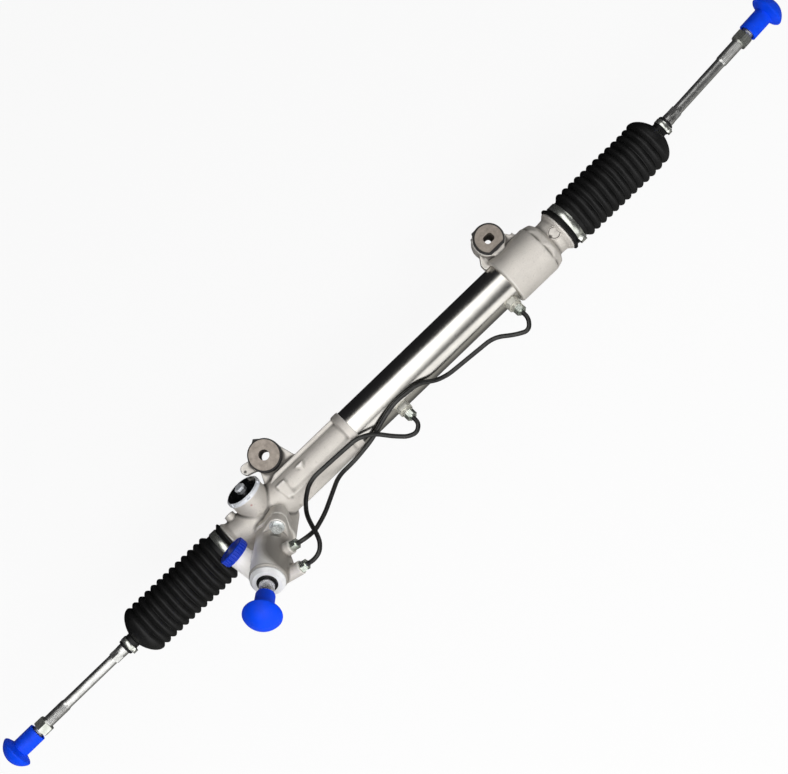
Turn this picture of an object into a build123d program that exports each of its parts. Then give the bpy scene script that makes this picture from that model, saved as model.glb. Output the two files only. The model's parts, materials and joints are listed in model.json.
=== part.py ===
from build123d import *
import math
import os

os.makedirs("parts", exist_ok=True)

# Hydraulic rack-and-pinion steering gear. Millimetres and degrees.
# Frame: origin at the middle of the left mounting bush, +Z along its bore,
# +X along the rack towards the cylinder end, +Y from the rack towards the bushes.

# ---------------------------------------------------------------- driving dimensions
rack_offset = 47.5  # rack axis to the line of the two bushes
bush_spacing = 360.0
fit_gap = 0.05  # radial gap of a running or sliding fit
seat_gap = 0.3  # gap between curved faces that lie side by side

rack_radius = 13.0
rack_travel = 64.0  # each way from the middle
mesh_x = -42.0  # where the pinion meets the rack
guide_shift = 4.6  # guide axis beyond the mesh, towards the left end
pinion_lean = 28.0  # pinion axis out of square to the rack
pinion_tilt = 30.0  # plane of the pinion, turned about the rack from vertical
module = 2.2  # normal module
pinion_teeth = 7
pressure_angle = 20.0
profile_shift = 0.5
backlash = 0.14
crest_height = 10.0  # rack tooth crests above the rack axis

tube_radius = 25.0
tube_wall = 3.2
tube_start = 85.0
tube_end = bush_spacing + 6
collar_length = 10.0  # mouth of the gear housing around the tube
collar_wall = 2.0
housing_wall_radius = 24.5
neck_length = 19.0  # bellows seat beyond each neck rim
left_rim_x = -95.0
right_rim_x = bush_spacing + 68
rim_radius = 26.8
seat_radius = 23.6
end_housing_start = bush_spacing - 18.5
end_housing_shoulder = bush_spacing + 37
end_housing_wall = 6.5
end_neck_radius = 21.9

ball_reach = 120.5  # neck rim to ball centre
ball_radius = 13.5
rod_neck_radius = 6.2
rod_tilt = 3.8  # rest angle of the right tie rod, towards +Y
rod_swing = 20.0  # each way, about each of two square axes

bellows_radius = 31.0
bellows_valley = 27.2
bellows_wall = 2.0  # across the folds
bellows_folds = 13
bellows_lip_radius = 29.6
cuff_reach = 42.0  # ball centre to the start of the small cuff

guide_radius = 16.0
boss_radius = 22.0
guide_cap_height = 36.4  # face of the guide boss above the rack axis

valve_radius = 22.0
valve_foot = 34.0  # joint face between gear housing and valve housing, along the pinion
valve_top = 108.0
bolt_circle = 28.0
bolt_angle = 48.0  # first bolt, turned from the guide direction

eye_height = 32.0
bush_height = 45.0
bush_bore_radius = 6.4
bush_disc_radius = 18.1
bush_disc_thickness = 2.5

pipe_radius = 2.7
cap_bore_radius = 7.15
thread_radius = 7.0

# ---------------------------------------------------------------- derived frames
rack_y = -rack_offset
lean = math.radians(pinion_lean)
tilt = math.radians(pinion_tilt)
guide_dir = Vector(0, math.cos(tilt), math.sin(tilt))
square_dir = Vector(0, -math.sin(tilt), math.cos(tilt))
pinion_dir = square_dir * math.cos(lean) - Vector(1, 0, 0) * math.sin(lean)
port_dir = Vector(1, 0, 0) * math.cos(lean) + square_dir * math.sin(lean)

pinion_pitch_radius = module * pinion_teeth / (2 * math.cos(lean))
pinion_tip_radius = pinion_pitch_radius + module * (1 + profile_shift)
pinion_root_radius = pinion_pitch_radius - module * (1.25 - profile_shift)
pitch_height = crest_height - module
centre_distance = pitch_height + pinion_pitch_radius + profile_shift * module
rack_pitch = math.pi * module

mesh_centre = Vector(mesh_x, rack_y, 0)
guide_centre = mesh_centre - Vector(guide_shift, 0, 0)
pinion_origin = mesh_centre - guide_dir * centre_distance
rack_line = Plane(origin=(0, rack_y, 0), x_dir=(0, 1, 0), z_dir=(1, 0, 0))
pinion_line = Plane(origin=pinion_origin, x_dir=guide_dir, z_dir=pinion_dir)
guide_line = Plane(origin=guide_centre, x_dir=(1, 0, 0), z_dir=guide_dir)

left_ball_x = left_rim_x - ball_reach
right_ball_x = right_rim_x + ball_reach
rest_tilt = math.radians(rod_tilt)
sides = {
    "left": {
        "end_line": Plane(origin=(left_ball_x, rack_y, 0), x_dir=(0, 0, 1), z_dir=(-1, 0, 0)),
        "rod_line": Plane(origin=(left_ball_x, rack_y, 0), x_dir=(0, 0, 1), z_dir=(-1, 0, 0)),
    },
    "right": {
        "end_line": Plane(origin=(right_ball_x, rack_y, 0), x_dir=(0, 0, 1), z_dir=(1, 0, 0)),
        "rod_line": Plane(
            origin=(right_ball_x, rack_y, 0),
            x_dir=(0, 0, 1),
            z_dir=(math.cos(rest_tilt), math.sin(rest_tilt), 0),
        ),
    },
}

BASE = (Align.CENTER, Align.CENTER, Align.MIN)


# ---------------------------------------------------------------- shared operations
def section_of(line):
    """Plane through an axis: local x is the radius, local y runs along the axis."""
    return Plane(origin=line.origin, x_dir=line.x_dir, z_dir=line.x_dir.cross(line.z_dir))


def turn(line, points, mode=Mode.ADD):
    """Revolve a closed outline of (radius, along) points about the line's axis."""
    with BuildSketch(section_of(line)) as outline:
        with BuildLine():
            Polyline(*points, close=True)
        make_face()
    revolve(outline.sketch, axis=Axis(line.origin, line.z_dir), mode=mode)


def cylinder_between(line, start, end, radius, mode=Mode.ADD):
    """Cylinder along the line's axis from one position to another."""
    with Locations(line.offset(start)):
        Cylinder(radius, end - start, align=BASE, mode=mode)


def hexagon_between(line, start, end, across_flats, mode=Mode.ADD):
    """Hexagonal prism along the line's axis."""
    with BuildSketch(line.offset(start)) as outline:
        RegularPolygon(across_flats / 2, 6, major_radius=False)
    extrude(outline.sketch, amount=end - start, mode=mode)


def dome_arc(radius, start, top):
    """Arc of a domed end, from its rim to the axis, centred on the axis."""
    height = top - start
    sphere = (radius**2 + height**2) / (2 * height)
    middle = top - sphere + math.sqrt(sphere**2 - (radius / 2) ** 2)
    ThreePointArc((radius, start), (radius / 2, middle), (0, top))


def at(point, line):
    """The same directions as a line's plane, moved to another origin."""
    return Plane(origin=point, x_dir=line.x_dir, z_dir=line.z_dir)


def pinion_point(along, sideways=0.0, towards_guide=0.0):
    """A point given by its distances along the pinion, the ports and the guide."""
    return (
        pinion_origin
        + pinion_dir * along
        + port_dir * sideways
        + guide_dir * towards_guide
    )


# ---------------------------------------------------------------- rack bar
bar_gap = 24.5  # ball centre to the end of the bar
stud_radius = 8.0
stud_length = 24.0
left_bar_end = left_ball_x + bar_gap
right_bar_end = right_ball_x - bar_gap
root_height = crest_height - 2.25 * module
gaps_each_way = math.ceil((rack_travel + pinion_tip_radius) / rack_pitch)
flat_half_length = (gaps_each_way + 0.5) * rack_pitch
slope = math.tan(math.radians(pressure_angle))
gap_half_width = (rack_pitch / 2 + backlash) / 2
root_half_width = gap_half_width - (pitch_height - root_height) * slope
crest_half_width = gap_half_width + (crest_height - pitch_height) * slope
tooth_plane = Plane(origin=mesh_centre, x_dir=(1, 0, 0), z_dir=square_dir)

with BuildPart() as rack_bar:
    cylinder_between(rack_line, left_bar_end, right_bar_end, rack_radius)
    chamfer(rack_bar.edges().filter_by(GeomType.CIRCLE), 1.2)
    with BuildSketch(tooth_plane):
        with Locations((0, -crest_height - rack_radius / 2)):
            Rectangle(2 * flat_half_length, rack_radius)
        for index in range(-gaps_each_way, gaps_each_way + 1):
            with Locations((index * rack_pitch, 0)):
                Polygon(
                    (-root_half_width, -root_height),
                    (root_half_width, -root_height),
                    (crest_half_width, -crest_height),
                    (-crest_half_width, -crest_height),
                    align=None,
                )
    extrude(amount=rack_radius + 1, both=True, mode=Mode.SUBTRACT)
    for side in sides.values():
        cylinder_between(
            side["end_line"], -bar_gap - stud_length, -bar_gap,
            stud_radius + fit_gap, Mode.SUBTRACT,
        )
rack_bar.part.label = "rack_bar"
export_step(rack_bar.part, "parts/rack_bar.step")

# ---------------------------------------------------------------- pinion
tooth_half_length = 14.0
lower_journal_radius = 7.0
upper_journal_radius = 10.0
journal_bottom = -36.0
pinion_top = 44.0
pilot_radius = 6.5
pilot_bottom = 32.0
torsion_radius = 3.5
torsion_bottom = -10.0


def pinion_section():
    """Outline points of one transverse pinion tooth: half angle at each radius."""
    transverse_angle = math.atan(slope / math.cos(lean))
    base_radius = pinion_pitch_radius * math.cos(transverse_angle)
    involute_at_pitch = math.tan(transverse_angle) - transverse_angle
    thickness = module * (math.pi / 2 + 2 * profile_shift * slope) / math.cos(lean)
    half_angle = thickness / (2 * pinion_pitch_radius) + involute_at_pitch
    flank = [(pinion_root_radius, half_angle)]
    steps = 4
    for index in range(steps + 1):
        radius = base_radius + (pinion_tip_radius - base_radius) * index / steps
        angle = math.acos(min(1.0, base_radius / radius))
        flank.append((radius, half_angle - (math.tan(angle) - angle)))
    return flank


def polar(radius, angle):
    return (radius * math.cos(angle), radius * math.sin(angle))


twist = math.degrees(2 * tooth_half_length * math.tan(lean) / pinion_pitch_radius)
with BuildSketch() as gear_outline:
    with BuildLine():
        flank = pinion_section()
        for index in range(pinion_teeth):
            middle = 2 * math.pi * index / pinion_teeth + math.radians(twist) / 2
            following = middle + 2 * math.pi / pinion_teeth
            rising = [polar(radius, middle - half) for radius, half in flank]
            falling = [polar(radius, middle + half) for radius, half in reversed(flank)]
            Line(rising[0], rising[1])
            Spline(*rising[1:])
            Line(rising[-1], falling[0])
            Spline(*falling[:-1])
            Line(falling[-2], falling[-1])
            Line(falling[-1], polar(flank[0][0], following - flank[0][1]))
    make_face()
gear = Solid.extrude_linear_with_rotation(
    gear_outline.sketch.face(), (0, 0, 0), (0, 0, 2 * tooth_half_length), -twist
)

with BuildPart() as pinion:
    add(pinion_line.offset(-tooth_half_length).location * gear)
    cylinder_between(pinion_line, journal_bottom, -tooth_half_length, lower_journal_radius)
    cylinder_between(pinion_line, tooth_half_length, pinion_top, upper_journal_radius - fit_gap)
    cylinder_between(
        pinion_line, pilot_bottom, pinion_top, pilot_radius + fit_gap, Mode.SUBTRACT
    )
    cylinder_between(
        pinion_line, torsion_bottom, pilot_bottom, torsion_radius + fit_gap, Mode.SUBTRACT
    )
pinion.part.label = "pinion"
export_step(pinion.part, "parts/pinion.step")

# ---------------------------------------------------------------- gear housing
neck_start = left_rim_x - neck_length
collar_end = tube_start + collar_length
collar_start = tube_start - 2
collar_radius = tube_radius + collar_wall
body_start = -8.0  # where the squared tubular part begins
shoulder_height = 16.5
shoulder_reach = 24.0
rack_bore_radius = rack_radius + 0.6
upper_bearing_radius = 17.0
upper_bearing_start = 21.0
upper_bearing_end = 29.5
spigot_radius = 20.0
spigot_depth = 4.0  # spigot of the valve housing below the joint face
lower_bearing_radius = 13.0
lower_bearing_top = -tooth_half_length - 4.5
pinion_well_end = -27.0
plug_radius = 14.0
plug_start = -42.0
plug_end = -34.0
ear_radius = 10.5
well_radius = 25.0  # outside of the pinion well
ear_start = 18.0
bolt_radius = 4.0
eye_radius = 20.0
eye_bore_radius = 15.5
web_half = 9.0
lug_centre = (-27.0, 4.0)
bolt_angles = (bolt_angle, bolt_angle + 180)


def neck_outline(rim_x, outward, root_radius, root_x):
    """Neck of a housing: flared rim, bellows seat and open end, as (radius, x)."""
    return [
        (0, root_x),
        (root_radius, root_x),
        (root_radius + 0.6, rim_x - outward * 6.5),
        (rim_radius, rim_x - outward * 1.8),
        (rim_radius, rim_x),
        (seat_radius, rim_x),
        (seat_radius, rim_x + outward * (neck_length - 1)),
        (seat_radius - 1, rim_x + outward * neck_length),
        (0, rim_x + outward * neck_length),
    ]


def flange_ears(along, body_radius):
    """Outline of the bolted joint: the round body with its two bolt ears."""
    with BuildSketch(pinion_line.offset(along)) as outline:
        Circle(body_radius)
        with PolarLocations(bolt_circle, 2, start_angle=-bolt_angle):
            Circle(ear_radius)
        make_hull()
    return outline.sketch


with BuildPart() as gear_housing:
    turn(rack_line, neck_outline(left_rim_x, -1, 22.6, -80))
    turn(rack_line, [(0, -80), (22.6, -80), (housing_wall_radius, -20),
                     (housing_wall_radius, collar_start), (collar_radius, tube_start),
                     (collar_radius, collar_end), (0, collar_end)])
    # squared shoulder on the bush side and flat lower corner of the tubular part
    with BuildSketch(rack_line.offset(body_start)):
        Polygon((0, -6), (shoulder_reach, -6), (shoulder_reach, shoulder_height),
                (0, shoulder_height), align=None)
        Polygon((0, 0), (-25.2, 0), (-25.2, 9.5), (-10.2, 25.0), (0, 22), align=None)
    extrude(amount=collar_start - body_start)
    with BuildSketch(Plane.XY):
        Polygon((body_start, rack_y + shoulder_reach), (body_start, rack_y),
                (mesh_x, rack_y), (mesh_x + 16, rack_y + 16), align=None)
    extrude(amount=shoulder_height)
    # guide boss, pinion well and its lower boss
    turn(guide_line, [(0, -12), (14, -12), (boss_radius, 14),
                      (boss_radius, guide_cap_height), (0, guide_cap_height)])
    turn(pinion_line, [(0, plug_start), (17, plug_start), (18.5, plug_start + 1.5),
                       (18.5, -22), (well_radius, -12), (well_radius, valve_foot), (0, valve_foot)])
    extrude(flange_ears(ear_start, well_radius - 1.5), amount=valve_foot - ear_start)
    # left eye with its web, the casting lug and the neck boss
    with Locations((0, 0, -eye_height / 2)):
        Cylinder(eye_radius, eye_height, align=BASE)
    with BuildSketch(Plane.XY.offset(-web_half)):
        Polygon((-17, -10), (-30, rack_y + 10), (-30, rack_y), (26, rack_y),
                (26, rack_y + shoulder_reach), (eye_radius - 0.3, -2), align=None)
    extrude(amount=2 * web_half)
    with BuildSketch(Plane.XY.offset(-12)):
        with Locations(lug_centre):
            Circle(7)
        Polygon((-27, 11), (-27, -3), (-12, -8), (-12, 8), align=None)
    extrude(amount=18)
    neck_boss = Plane(origin=(-78, rack_y, 6), x_dir=(1, 0, 0), z_dir=(0, 1, 0))
    cylinder_between(neck_boss, 0, 28, 6.5)
    # stiffening ribs on top of the tubular part
    with BuildSketch(Plane.XY.offset(10)):
        Polygon((-16, -36), (-3, -36), (-5.5, -57), (-13.5, -57), align=None)
        Polygon((15, -35), (28, -35), (22, -43), align=None)
    extrude(amount=15.4)
    # bores: rack, cylinder tube, guide, pinion, bearing seats, plug, bolts and eye
    cylinder_between(rack_line, neck_start - 1, tube_start, rack_bore_radius, Mode.SUBTRACT)
    cylinder_between(rack_line, neck_start - 1, neck_start + 9, 17.5, Mode.SUBTRACT)
    cylinder_between(rack_line, tube_start, collar_end + 1, tube_radius + fit_gap, Mode.SUBTRACT)
    cylinder_between(guide_line, 0, guide_cap_height + 1, guide_radius + fit_gap, Mode.SUBTRACT)
    cylinder_between(
        pinion_line, pinion_well_end, upper_bearing_start,
        lower_bearing_radius + fit_gap, Mode.SUBTRACT,
    )
    cylinder_between(
        pinion_line, upper_bearing_start, valve_foot,
        upper_bearing_radius + fit_gap, Mode.SUBTRACT,
    )
    cylinder_between(
        pinion_line, valve_foot - spigot_depth - seat_gap, valve_foot + 1,
        spigot_radius + fit_gap, Mode.SUBTRACT,
    )
    cylinder_between(
        pinion_line, plug_start - 1, pinion_well_end + 1,
        lower_journal_radius + 1, Mode.SUBTRACT,
    )
    cylinder_between(
        pinion_line, plug_start - 1, plug_end, plug_radius + fit_gap, Mode.SUBTRACT
    )
    cylinder_between(pinion_line, valve_foot, valve_foot + 4, valve_radius + seat_gap, Mode.SUBTRACT)
    for angle in bolt_angles:
        hole = polar(bolt_circle, math.radians(angle))
        drill = at(pinion_point(ear_start, hole[1], hole[0]), pinion_line)
        cylinder_between(drill, 2, 40, bolt_radius + fit_gap, Mode.SUBTRACT)
    with Locations((0, 0, -eye_height)):
        Cylinder(eye_bore_radius, 2 * eye_height, align=BASE, mode=Mode.SUBTRACT)
gear_housing.part.label = "gear_housing"
export_step(gear_housing.part, "parts/gear_housing.step")

# ---------------------------------------------------------------- cylinder tube and end housing
tube_bore_radius = tube_radius - tube_wall
port_lean = 20.0  # tube ports, above the horizontal on the side away from the bushes
left_port_x = 154.0
right_port_x = bush_spacing - 31
port_block = 17.0
port_block_top = tube_radius + 6
port_neck_radius = 7.0
port_neck_top = port_block_top + 4
end_housing_radius = tube_radius + end_housing_wall
end_neck_root = end_housing_shoulder + 12
end_seal_radius = 20.0
end_bush_radius = 17.0
end_seal_end = tube_end + 10
right_eye_radius = 19.5
d_flat = 15.5  # bush axis to the flat of the D-shaped bush

port_out = Vector(0, -math.cos(math.radians(port_lean)), math.sin(math.radians(port_lean)))


def tube_port_line(x):
    """Axis of a tube port, from the rack axis outwards."""
    return Plane(origin=(x, rack_y, 0), x_dir=(1, 0, 0), z_dir=port_out)


with BuildPart() as cylinder_tube:
    turn(rack_line, [(tube_bore_radius, tube_start + 1), (tube_radius - 0.6, tube_start + 1),
                     (tube_radius, tube_start + 1.6), (tube_radius, tube_end - 0.6),
                     (tube_radius - 0.6, tube_end), (tube_bore_radius, tube_end)])
    for x in (left_port_x, right_port_x):
        cylinder_between(tube_port_line(x), 10, tube_radius + 2, 3, Mode.SUBTRACT)
cylinder_tube.part.label = "cylinder_tube"
export_step(cylinder_tube.part, "parts/cylinder_tube.step")

with BuildPart() as port_bosses:
    for x in (left_port_x, right_port_x):
        with BuildSketch(tube_port_line(x).offset(tube_radius - 8)):
            RectangleRounded(port_block, port_block, 5)
        extrude(amount=port_block_top - tube_radius + 8)
        cylinder_between(tube_port_line(x), port_block_top, port_neck_top, port_neck_radius)
    cylinder_between(rack_line, tube_start, tube_end, tube_radius + fit_gap, Mode.SUBTRACT)
    for x in (left_port_x, right_port_x):
        cylinder_between(tube_port_line(x), 15, port_neck_top + 1, 5, Mode.SUBTRACT)
port_bosses.part.label = "port_bosses"
export_step(port_bosses.part, "parts/port_bosses.step")

with BuildPart() as end_housing:
    turn(rack_line, [(0, end_housing_start), (end_housing_radius - 1.5, end_housing_start),
                     (end_housing_radius, end_housing_start + 1.5),
                     (end_housing_radius, end_housing_shoulder),
                     (end_housing_radius - 3, end_neck_root - 3), (end_neck_radius + 2, end_neck_root),
                     (end_neck_radius, end_neck_root + 1),
                     (end_neck_radius, end_neck_root + 6), (0, end_neck_root + 6)])
    turn(rack_line, neck_outline(right_rim_x, 1, end_neck_radius, end_neck_root + 5))
    with Locations((bush_spacing, 0, -eye_height / 2)):
        Cylinder(right_eye_radius, eye_height, align=BASE)
    # cradle under the eye and its two pointed lugs
    with BuildSketch(Plane.XY.offset(-web_half)):
        Polygon((bush_spacing - 18, rack_y), (bush_spacing - 18, rack_y + 29),
                (bush_spacing - 17, -4), (bush_spacing + 17, -4),
                (bush_spacing + 28, rack_y + 28), (bush_spacing + 28, rack_y), align=None)
    extrude(amount=2 * web_half)
    with BuildSketch(Plane.XY.offset(-4)):
        Polygon((bush_spacing - 16, rack_y + 12), (bush_spacing - 26, rack_y + 26),
                (bush_spacing - 26, rack_y + 33), (bush_spacing - 18, -3),
                (bush_spacing - 10, -8), align=None)
        Polygon((bush_spacing + 10, rack_y + 28), (bush_spacing + 26.5, rack_y + 36),
                (bush_spacing + 27, rack_y + 24), align=None)
    extrude(amount=12)
    # flats on the end shoulder
    with BuildSketch(rack_line.offset(end_housing_shoulder)):
        Circle(end_housing_radius + 3)
        RegularPolygon(end_housing_radius - 2.8, 8, major_radius=False, mode=Mode.SUBTRACT)
    extrude(amount=end_neck_root - end_housing_shoulder + 1, mode=Mode.SUBTRACT)
    cylinder_between(rack_line, end_housing_start - 15, tube_end, tube_radius + fit_gap, Mode.SUBTRACT)
    cylinder_between(rack_line, tube_end, end_seal_end, end_seal_radius + fit_gap, Mode.SUBTRACT)
    cylinder_between(rack_line, end_seal_end, right_rim_x + neck_length + 1,
                     end_bush_radius + fit_gap, Mode.SUBTRACT)
    with Locations((bush_spacing, 0, -eye_height)):
        Cylinder(eye_bore_radius, 2 * eye_height, align=BASE, mode=Mode.SUBTRACT)
end_housing.part.label = "end_housing"
export_step(end_housing.part, "parts/end_housing.step")

with BuildPart() as end_rack_seal:
    turn(rack_line, [(rack_radius + fit_gap, tube_end + 0.5), (end_seal_radius, tube_end + 0.5),
                     (end_seal_radius, end_seal_end - 0.3), (rack_radius + fit_gap, end_seal_end - 0.3)])
end_rack_seal.part.label = "end_rack_seal"
export_step(end_rack_seal.part, "parts/end_rack_seal.step")

bush_start = end_neck_root + 16
bush_end = bush_start + 16
with BuildPart() as end_rack_bushing:
    turn(rack_line, [(rack_radius + fit_gap, bush_start), (end_bush_radius, bush_start),
                     (end_bush_radius, bush_end), (rack_radius + fit_gap, bush_end)])
end_rack_bushing.part.label = "end_rack_bushing"
export_step(end_rack_bushing.part, "parts/end_rack_bushing.step")

with BuildPart() as end_retaining_ring:
    turn(rack_line, [(rack_radius + 1.4, bush_end + 0.2), (end_bush_radius, bush_end + 0.2),
                     (end_bush_radius, bush_end + 1.8), (rack_radius + 1.4, bush_end + 1.8)])
end_retaining_ring.part.label = "end_retaining_ring"
export_step(end_retaining_ring.part, "parts/end_retaining_ring.step")

# ---------------------------------------------------------------- inside the cylinder
inner_seal_end = 149.0
inner_seal_start = inner_seal_end - 6
piston_width = 16.0
piston_x = (inner_seal_end + tube_end) / 2 - 16
piston_clearance = 0.2

with BuildPart() as inner_seal_sleeve:
    turn(rack_line, [(rack_radius + 1, tube_start + 1.2), (tube_bore_radius - fit_gap, tube_start + 1.2),
                     (tube_bore_radius - fit_gap, inner_seal_start),
                     (rack_radius + 1, inner_seal_start)])
inner_seal_sleeve.part.label = "inner_seal_sleeve"
export_step(inner_seal_sleeve.part, "parts/inner_seal_sleeve.step")

with BuildPart() as inner_rack_seal:
    turn(rack_line, [(rack_radius + fit_gap, inner_seal_start), (tube_bore_radius - fit_gap, inner_seal_start),
                     (tube_bore_radius - fit_gap, inner_seal_end),
                     (rack_radius + 4, inner_seal_end), (rack_radius + 1, inner_seal_end - 3),
                     (rack_radius + fit_gap, inner_seal_end - 2)])
inner_rack_seal.part.label = "inner_rack_seal"
export_step(inner_rack_seal.part, "parts/inner_rack_seal.step")

groove_half = 2.2
groove_radius = tube_bore_radius - 3
piston_radius = tube_bore_radius - piston_clearance
with BuildPart() as piston:
    turn(rack_line, [(rack_radius + fit_gap, piston_x - piston_width / 2),
                     (piston_radius, piston_x - piston_width / 2),
                     (piston_radius, piston_x - groove_half), (groove_radius, piston_x - groove_half),
                     (groove_radius, piston_x + groove_half), (piston_radius, piston_x + groove_half),
                     (piston_radius, piston_x + piston_width / 2),
                     (rack_radius + fit_gap, piston_x + piston_width / 2)])
piston.part.label = "piston"
export_step(piston.part, "parts/piston.step")

with BuildPart() as piston_ring:
    turn(rack_line, [(groove_radius + fit_gap, piston_x - groove_half + 0.1),
                     (tube_bore_radius - fit_gap, piston_x - groove_half + 0.1),
                     (tube_bore_radius - fit_gap, piston_x + groove_half - 0.1),
                     (groove_radius + fit_gap, piston_x + groove_half - 0.1)])
piston_ring.part.label = "piston_ring"
export_step(piston_ring.part, "parts/piston_ring.step")

# ---------------------------------------------------------------- mounting bushes
rubber_radius = 19.8  # rubber collar under the steel disc
rubber_thickness = (bush_height - eye_height) / 2 - bush_disc_thickness
sleeve_radius = 9.5
slot_length = 12.7
slot_width = 10.2


def disc_outline(plane, radius, flat):
    """Round outline, cut straight on the rack side when flat is given."""
    with BuildSketch(plane) as outline:
        Circle(radius)
        if flat:
            with Locations((0, -flat - radius)):
                Rectangle(4 * radius, 2 * radius, mode=Mode.SUBTRACT)
    return outline.sketch


def bush_sleeve(x, radius, flat, slotted):
    """Steel sleeve in two halves, each with its outer disc; they meet in the middle."""
    with BuildPart() as piece:
        for up in (1, -1):
            base = Plane(origin=(x, 0, 0), x_dir=(1, 0, 0), z_dir=(0, 0, 1))
            inner = up * (bush_height / 2 - bush_disc_thickness)
            extrude(disc_outline(base.offset(inner), radius, flat), amount=up * bush_disc_thickness)
            with BuildSketch(base.offset(up * fit_gap)) as tube:
                Circle(sleeve_radius)
            extrude(tube.sketch, amount=inner - up * fit_gap)
        with BuildSketch(Plane(origin=(x, 0, -bush_height))) as hole:
            if slotted:
                RectangleRounded(slot_length, slot_width, 3.6)
            else:
                Circle(bush_bore_radius)
        extrude(hole.sketch, amount=2 * bush_height, mode=Mode.SUBTRACT)
    return piece


def bush_rubber(x, radius, flat, tab):
    """Rubber in two halves: a sleeve pressed into the eye and a collar on its face."""
    with BuildPart() as piece:
        for up in (1, -1):
            base = Plane(origin=(x, 0, 0), x_dir=(1, 0, 0), z_dir=(0, 0, 1))
            extrude(disc_outline(base.offset(up * eye_height / 2), radius, flat),
                    amount=up * rubber_thickness)
            with BuildSketch(base.offset(up * fit_gap)) as body:
                Circle(eye_bore_radius - fit_gap)
            extrude(body.sketch, amount=up * (eye_height / 2 - fit_gap))
            with BuildSketch(base.offset(up * eye_height / 2)) as corner:
                Polygon(*tab, align=None)
            extrude(corner.sketch, amount=up * rubber_thickness)
        hole = Plane(origin=(x, 0, -bush_height), x_dir=(1, 0, 0), z_dir=(0, 0, 1))
        cylinder_between(hole, 0, 2 * bush_height, sleeve_radius + fit_gap, Mode.SUBTRACT)
    return piece


left_tab = [(-4, 18), (3.2, 22.5), (14, 13.5), (8, 8)]
right_tab = [(-14, 10), (-10, 18.2), (2, 18), (0, 12)]
bush_shapes = {
    "left": (0.0, bush_disc_radius, None, False, rubber_radius, None, left_tab),
    "right": (bush_spacing, 16.3, 12.4, True, rubber_radius - 1.2, d_flat, right_tab),
}
for side, (x, disc, flat, slotted, collar, rubber_flat, tab) in bush_shapes.items():
    sleeve = bush_sleeve(x, disc, flat, slotted)
    sleeve.part.label = f"{side}_bush_sleeve"
    export_step(sleeve.part, f"parts/{side}_bush_sleeve.step")
    rubber = bush_rubber(x, collar, rubber_flat, tab)
    rubber.part.label = f"{side}_bush_rubber"
    export_step(rubber.part, f"parts/{side}_bush_rubber.step")

# ---------------------------------------------------------------- rack guide
liner_radius = rack_radius + 1.0
liner_half_width = 13.0
guide_start = 4.0
guide_end = 27.0
spring_end = guide_end + 3
nut_radius = 23.0
nut_end = guide_cap_height + 5.2
cap_top = nut_end + 2.2
cap_hex_across = 11.0
cap_hex_height = 3.6

with BuildPart() as rack_guide:
    cylinder_between(guide_line, guide_start, guide_end, guide_radius)
    cylinder_between(rack_line, guide_centre.X - 2 * guide_radius, guide_centre.X + 2 * guide_radius,
                     liner_radius + fit_gap, Mode.SUBTRACT)
    cylinder_between(guide_line, guide_end - 3, guide_end + 1, 9, Mode.SUBTRACT)
rack_guide.part.label = "rack_guide"
export_step(rack_guide.part, "parts/rack_guide.step")

with BuildPart() as guide_liner:
    with BuildSketch(rack_line.offset(guide_centre.X - liner_half_width)):
        Circle(liner_radius)
        Circle(rack_radius + fit_gap, mode=Mode.SUBTRACT)
        with Locations(Location((0, 0, 0), (0, 0, pinion_tilt))):
            with Locations((guide_start + 2 - 2 * rack_radius, 0)):
                Rectangle(4 * rack_radius, 4 * rack_radius, mode=Mode.SUBTRACT)
    extrude(amount=2 * liner_half_width)
    cylinder_between(guide_line, 0, guide_end, guide_radius - seat_gap, Mode.INTERSECT)
guide_liner.part.label = "guide_liner"
export_step(guide_liner.part, "parts/guide_liner.step")

with BuildPart() as guide_spring:
    turn(guide_line, [(4, guide_end - 2.7), (8.6, guide_end - 0.4), (8.6, guide_end + 0.8),
                      (4, spring_end - 3.6)])
    turn(guide_line, [(4, spring_end - 3.4), (8.6, guide_end + 0.9), (8.6, guide_end + 2.1),
                      (4, spring_end - 0.2)])
guide_spring.part.label = "guide_spring"
export_step(guide_spring.part, "parts/guide_spring.step")

with BuildPart() as guide_cap:
    turn(guide_line, [(0, spring_end), (guide_radius - 0.1, spring_end),
                      (guide_radius - 0.1, cap_top - 1.6), (guide_radius - 2, cap_top),
                      (0, cap_top)])
    hexagon_between(guide_line, cap_top, cap_top + cap_hex_height, cap_hex_across)
guide_cap.part.label = "guide_cap"
export_step(guide_cap.part, "parts/guide_cap.step")

with BuildPart() as guide_lock_nut:
    turn(guide_line, [(guide_radius + fit_gap, guide_cap_height), (nut_radius, guide_cap_height),
                      (nut_radius, nut_end - 1.5), (nut_radius - 1.5, nut_end),
                      (guide_radius + fit_gap, nut_end)])
    for angle in range(0, 360, 60):
        notch = polar(nut_radius, math.radians(angle + 30))
        groove = at(guide_line.from_local_coords(Vector(notch[0], notch[1], guide_cap_height)), guide_line)
        cylinder_between(groove, 1.2, 8, 2.2, Mode.SUBTRACT)
guide_lock_nut.part.label = "guide_lock_nut"
export_step(guide_lock_nut.part, "parts/guide_lock_nut.step")

# ---------------------------------------------------------------- pinion bearings and plug
bearing_inner = upper_journal_radius
race_wall = 2.6
ball_circle = (bearing_inner + upper_bearing_radius) / 2
bearing_balls = 8
bearing_ball_radius = 2.2

with BuildPart() as pinion_lower_bearing:
    turn(pinion_line, [(lower_journal_radius + fit_gap, pinion_well_end + 0.5),
                       (lower_bearing_radius, pinion_well_end + 0.5),
                       (lower_bearing_radius, lower_bearing_top),
                       (lower_journal_radius + fit_gap, lower_bearing_top)])
pinion_lower_bearing.part.label = "pinion_lower_bearing"
export_step(pinion_lower_bearing.part, "parts/pinion_lower_bearing.step")

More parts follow.
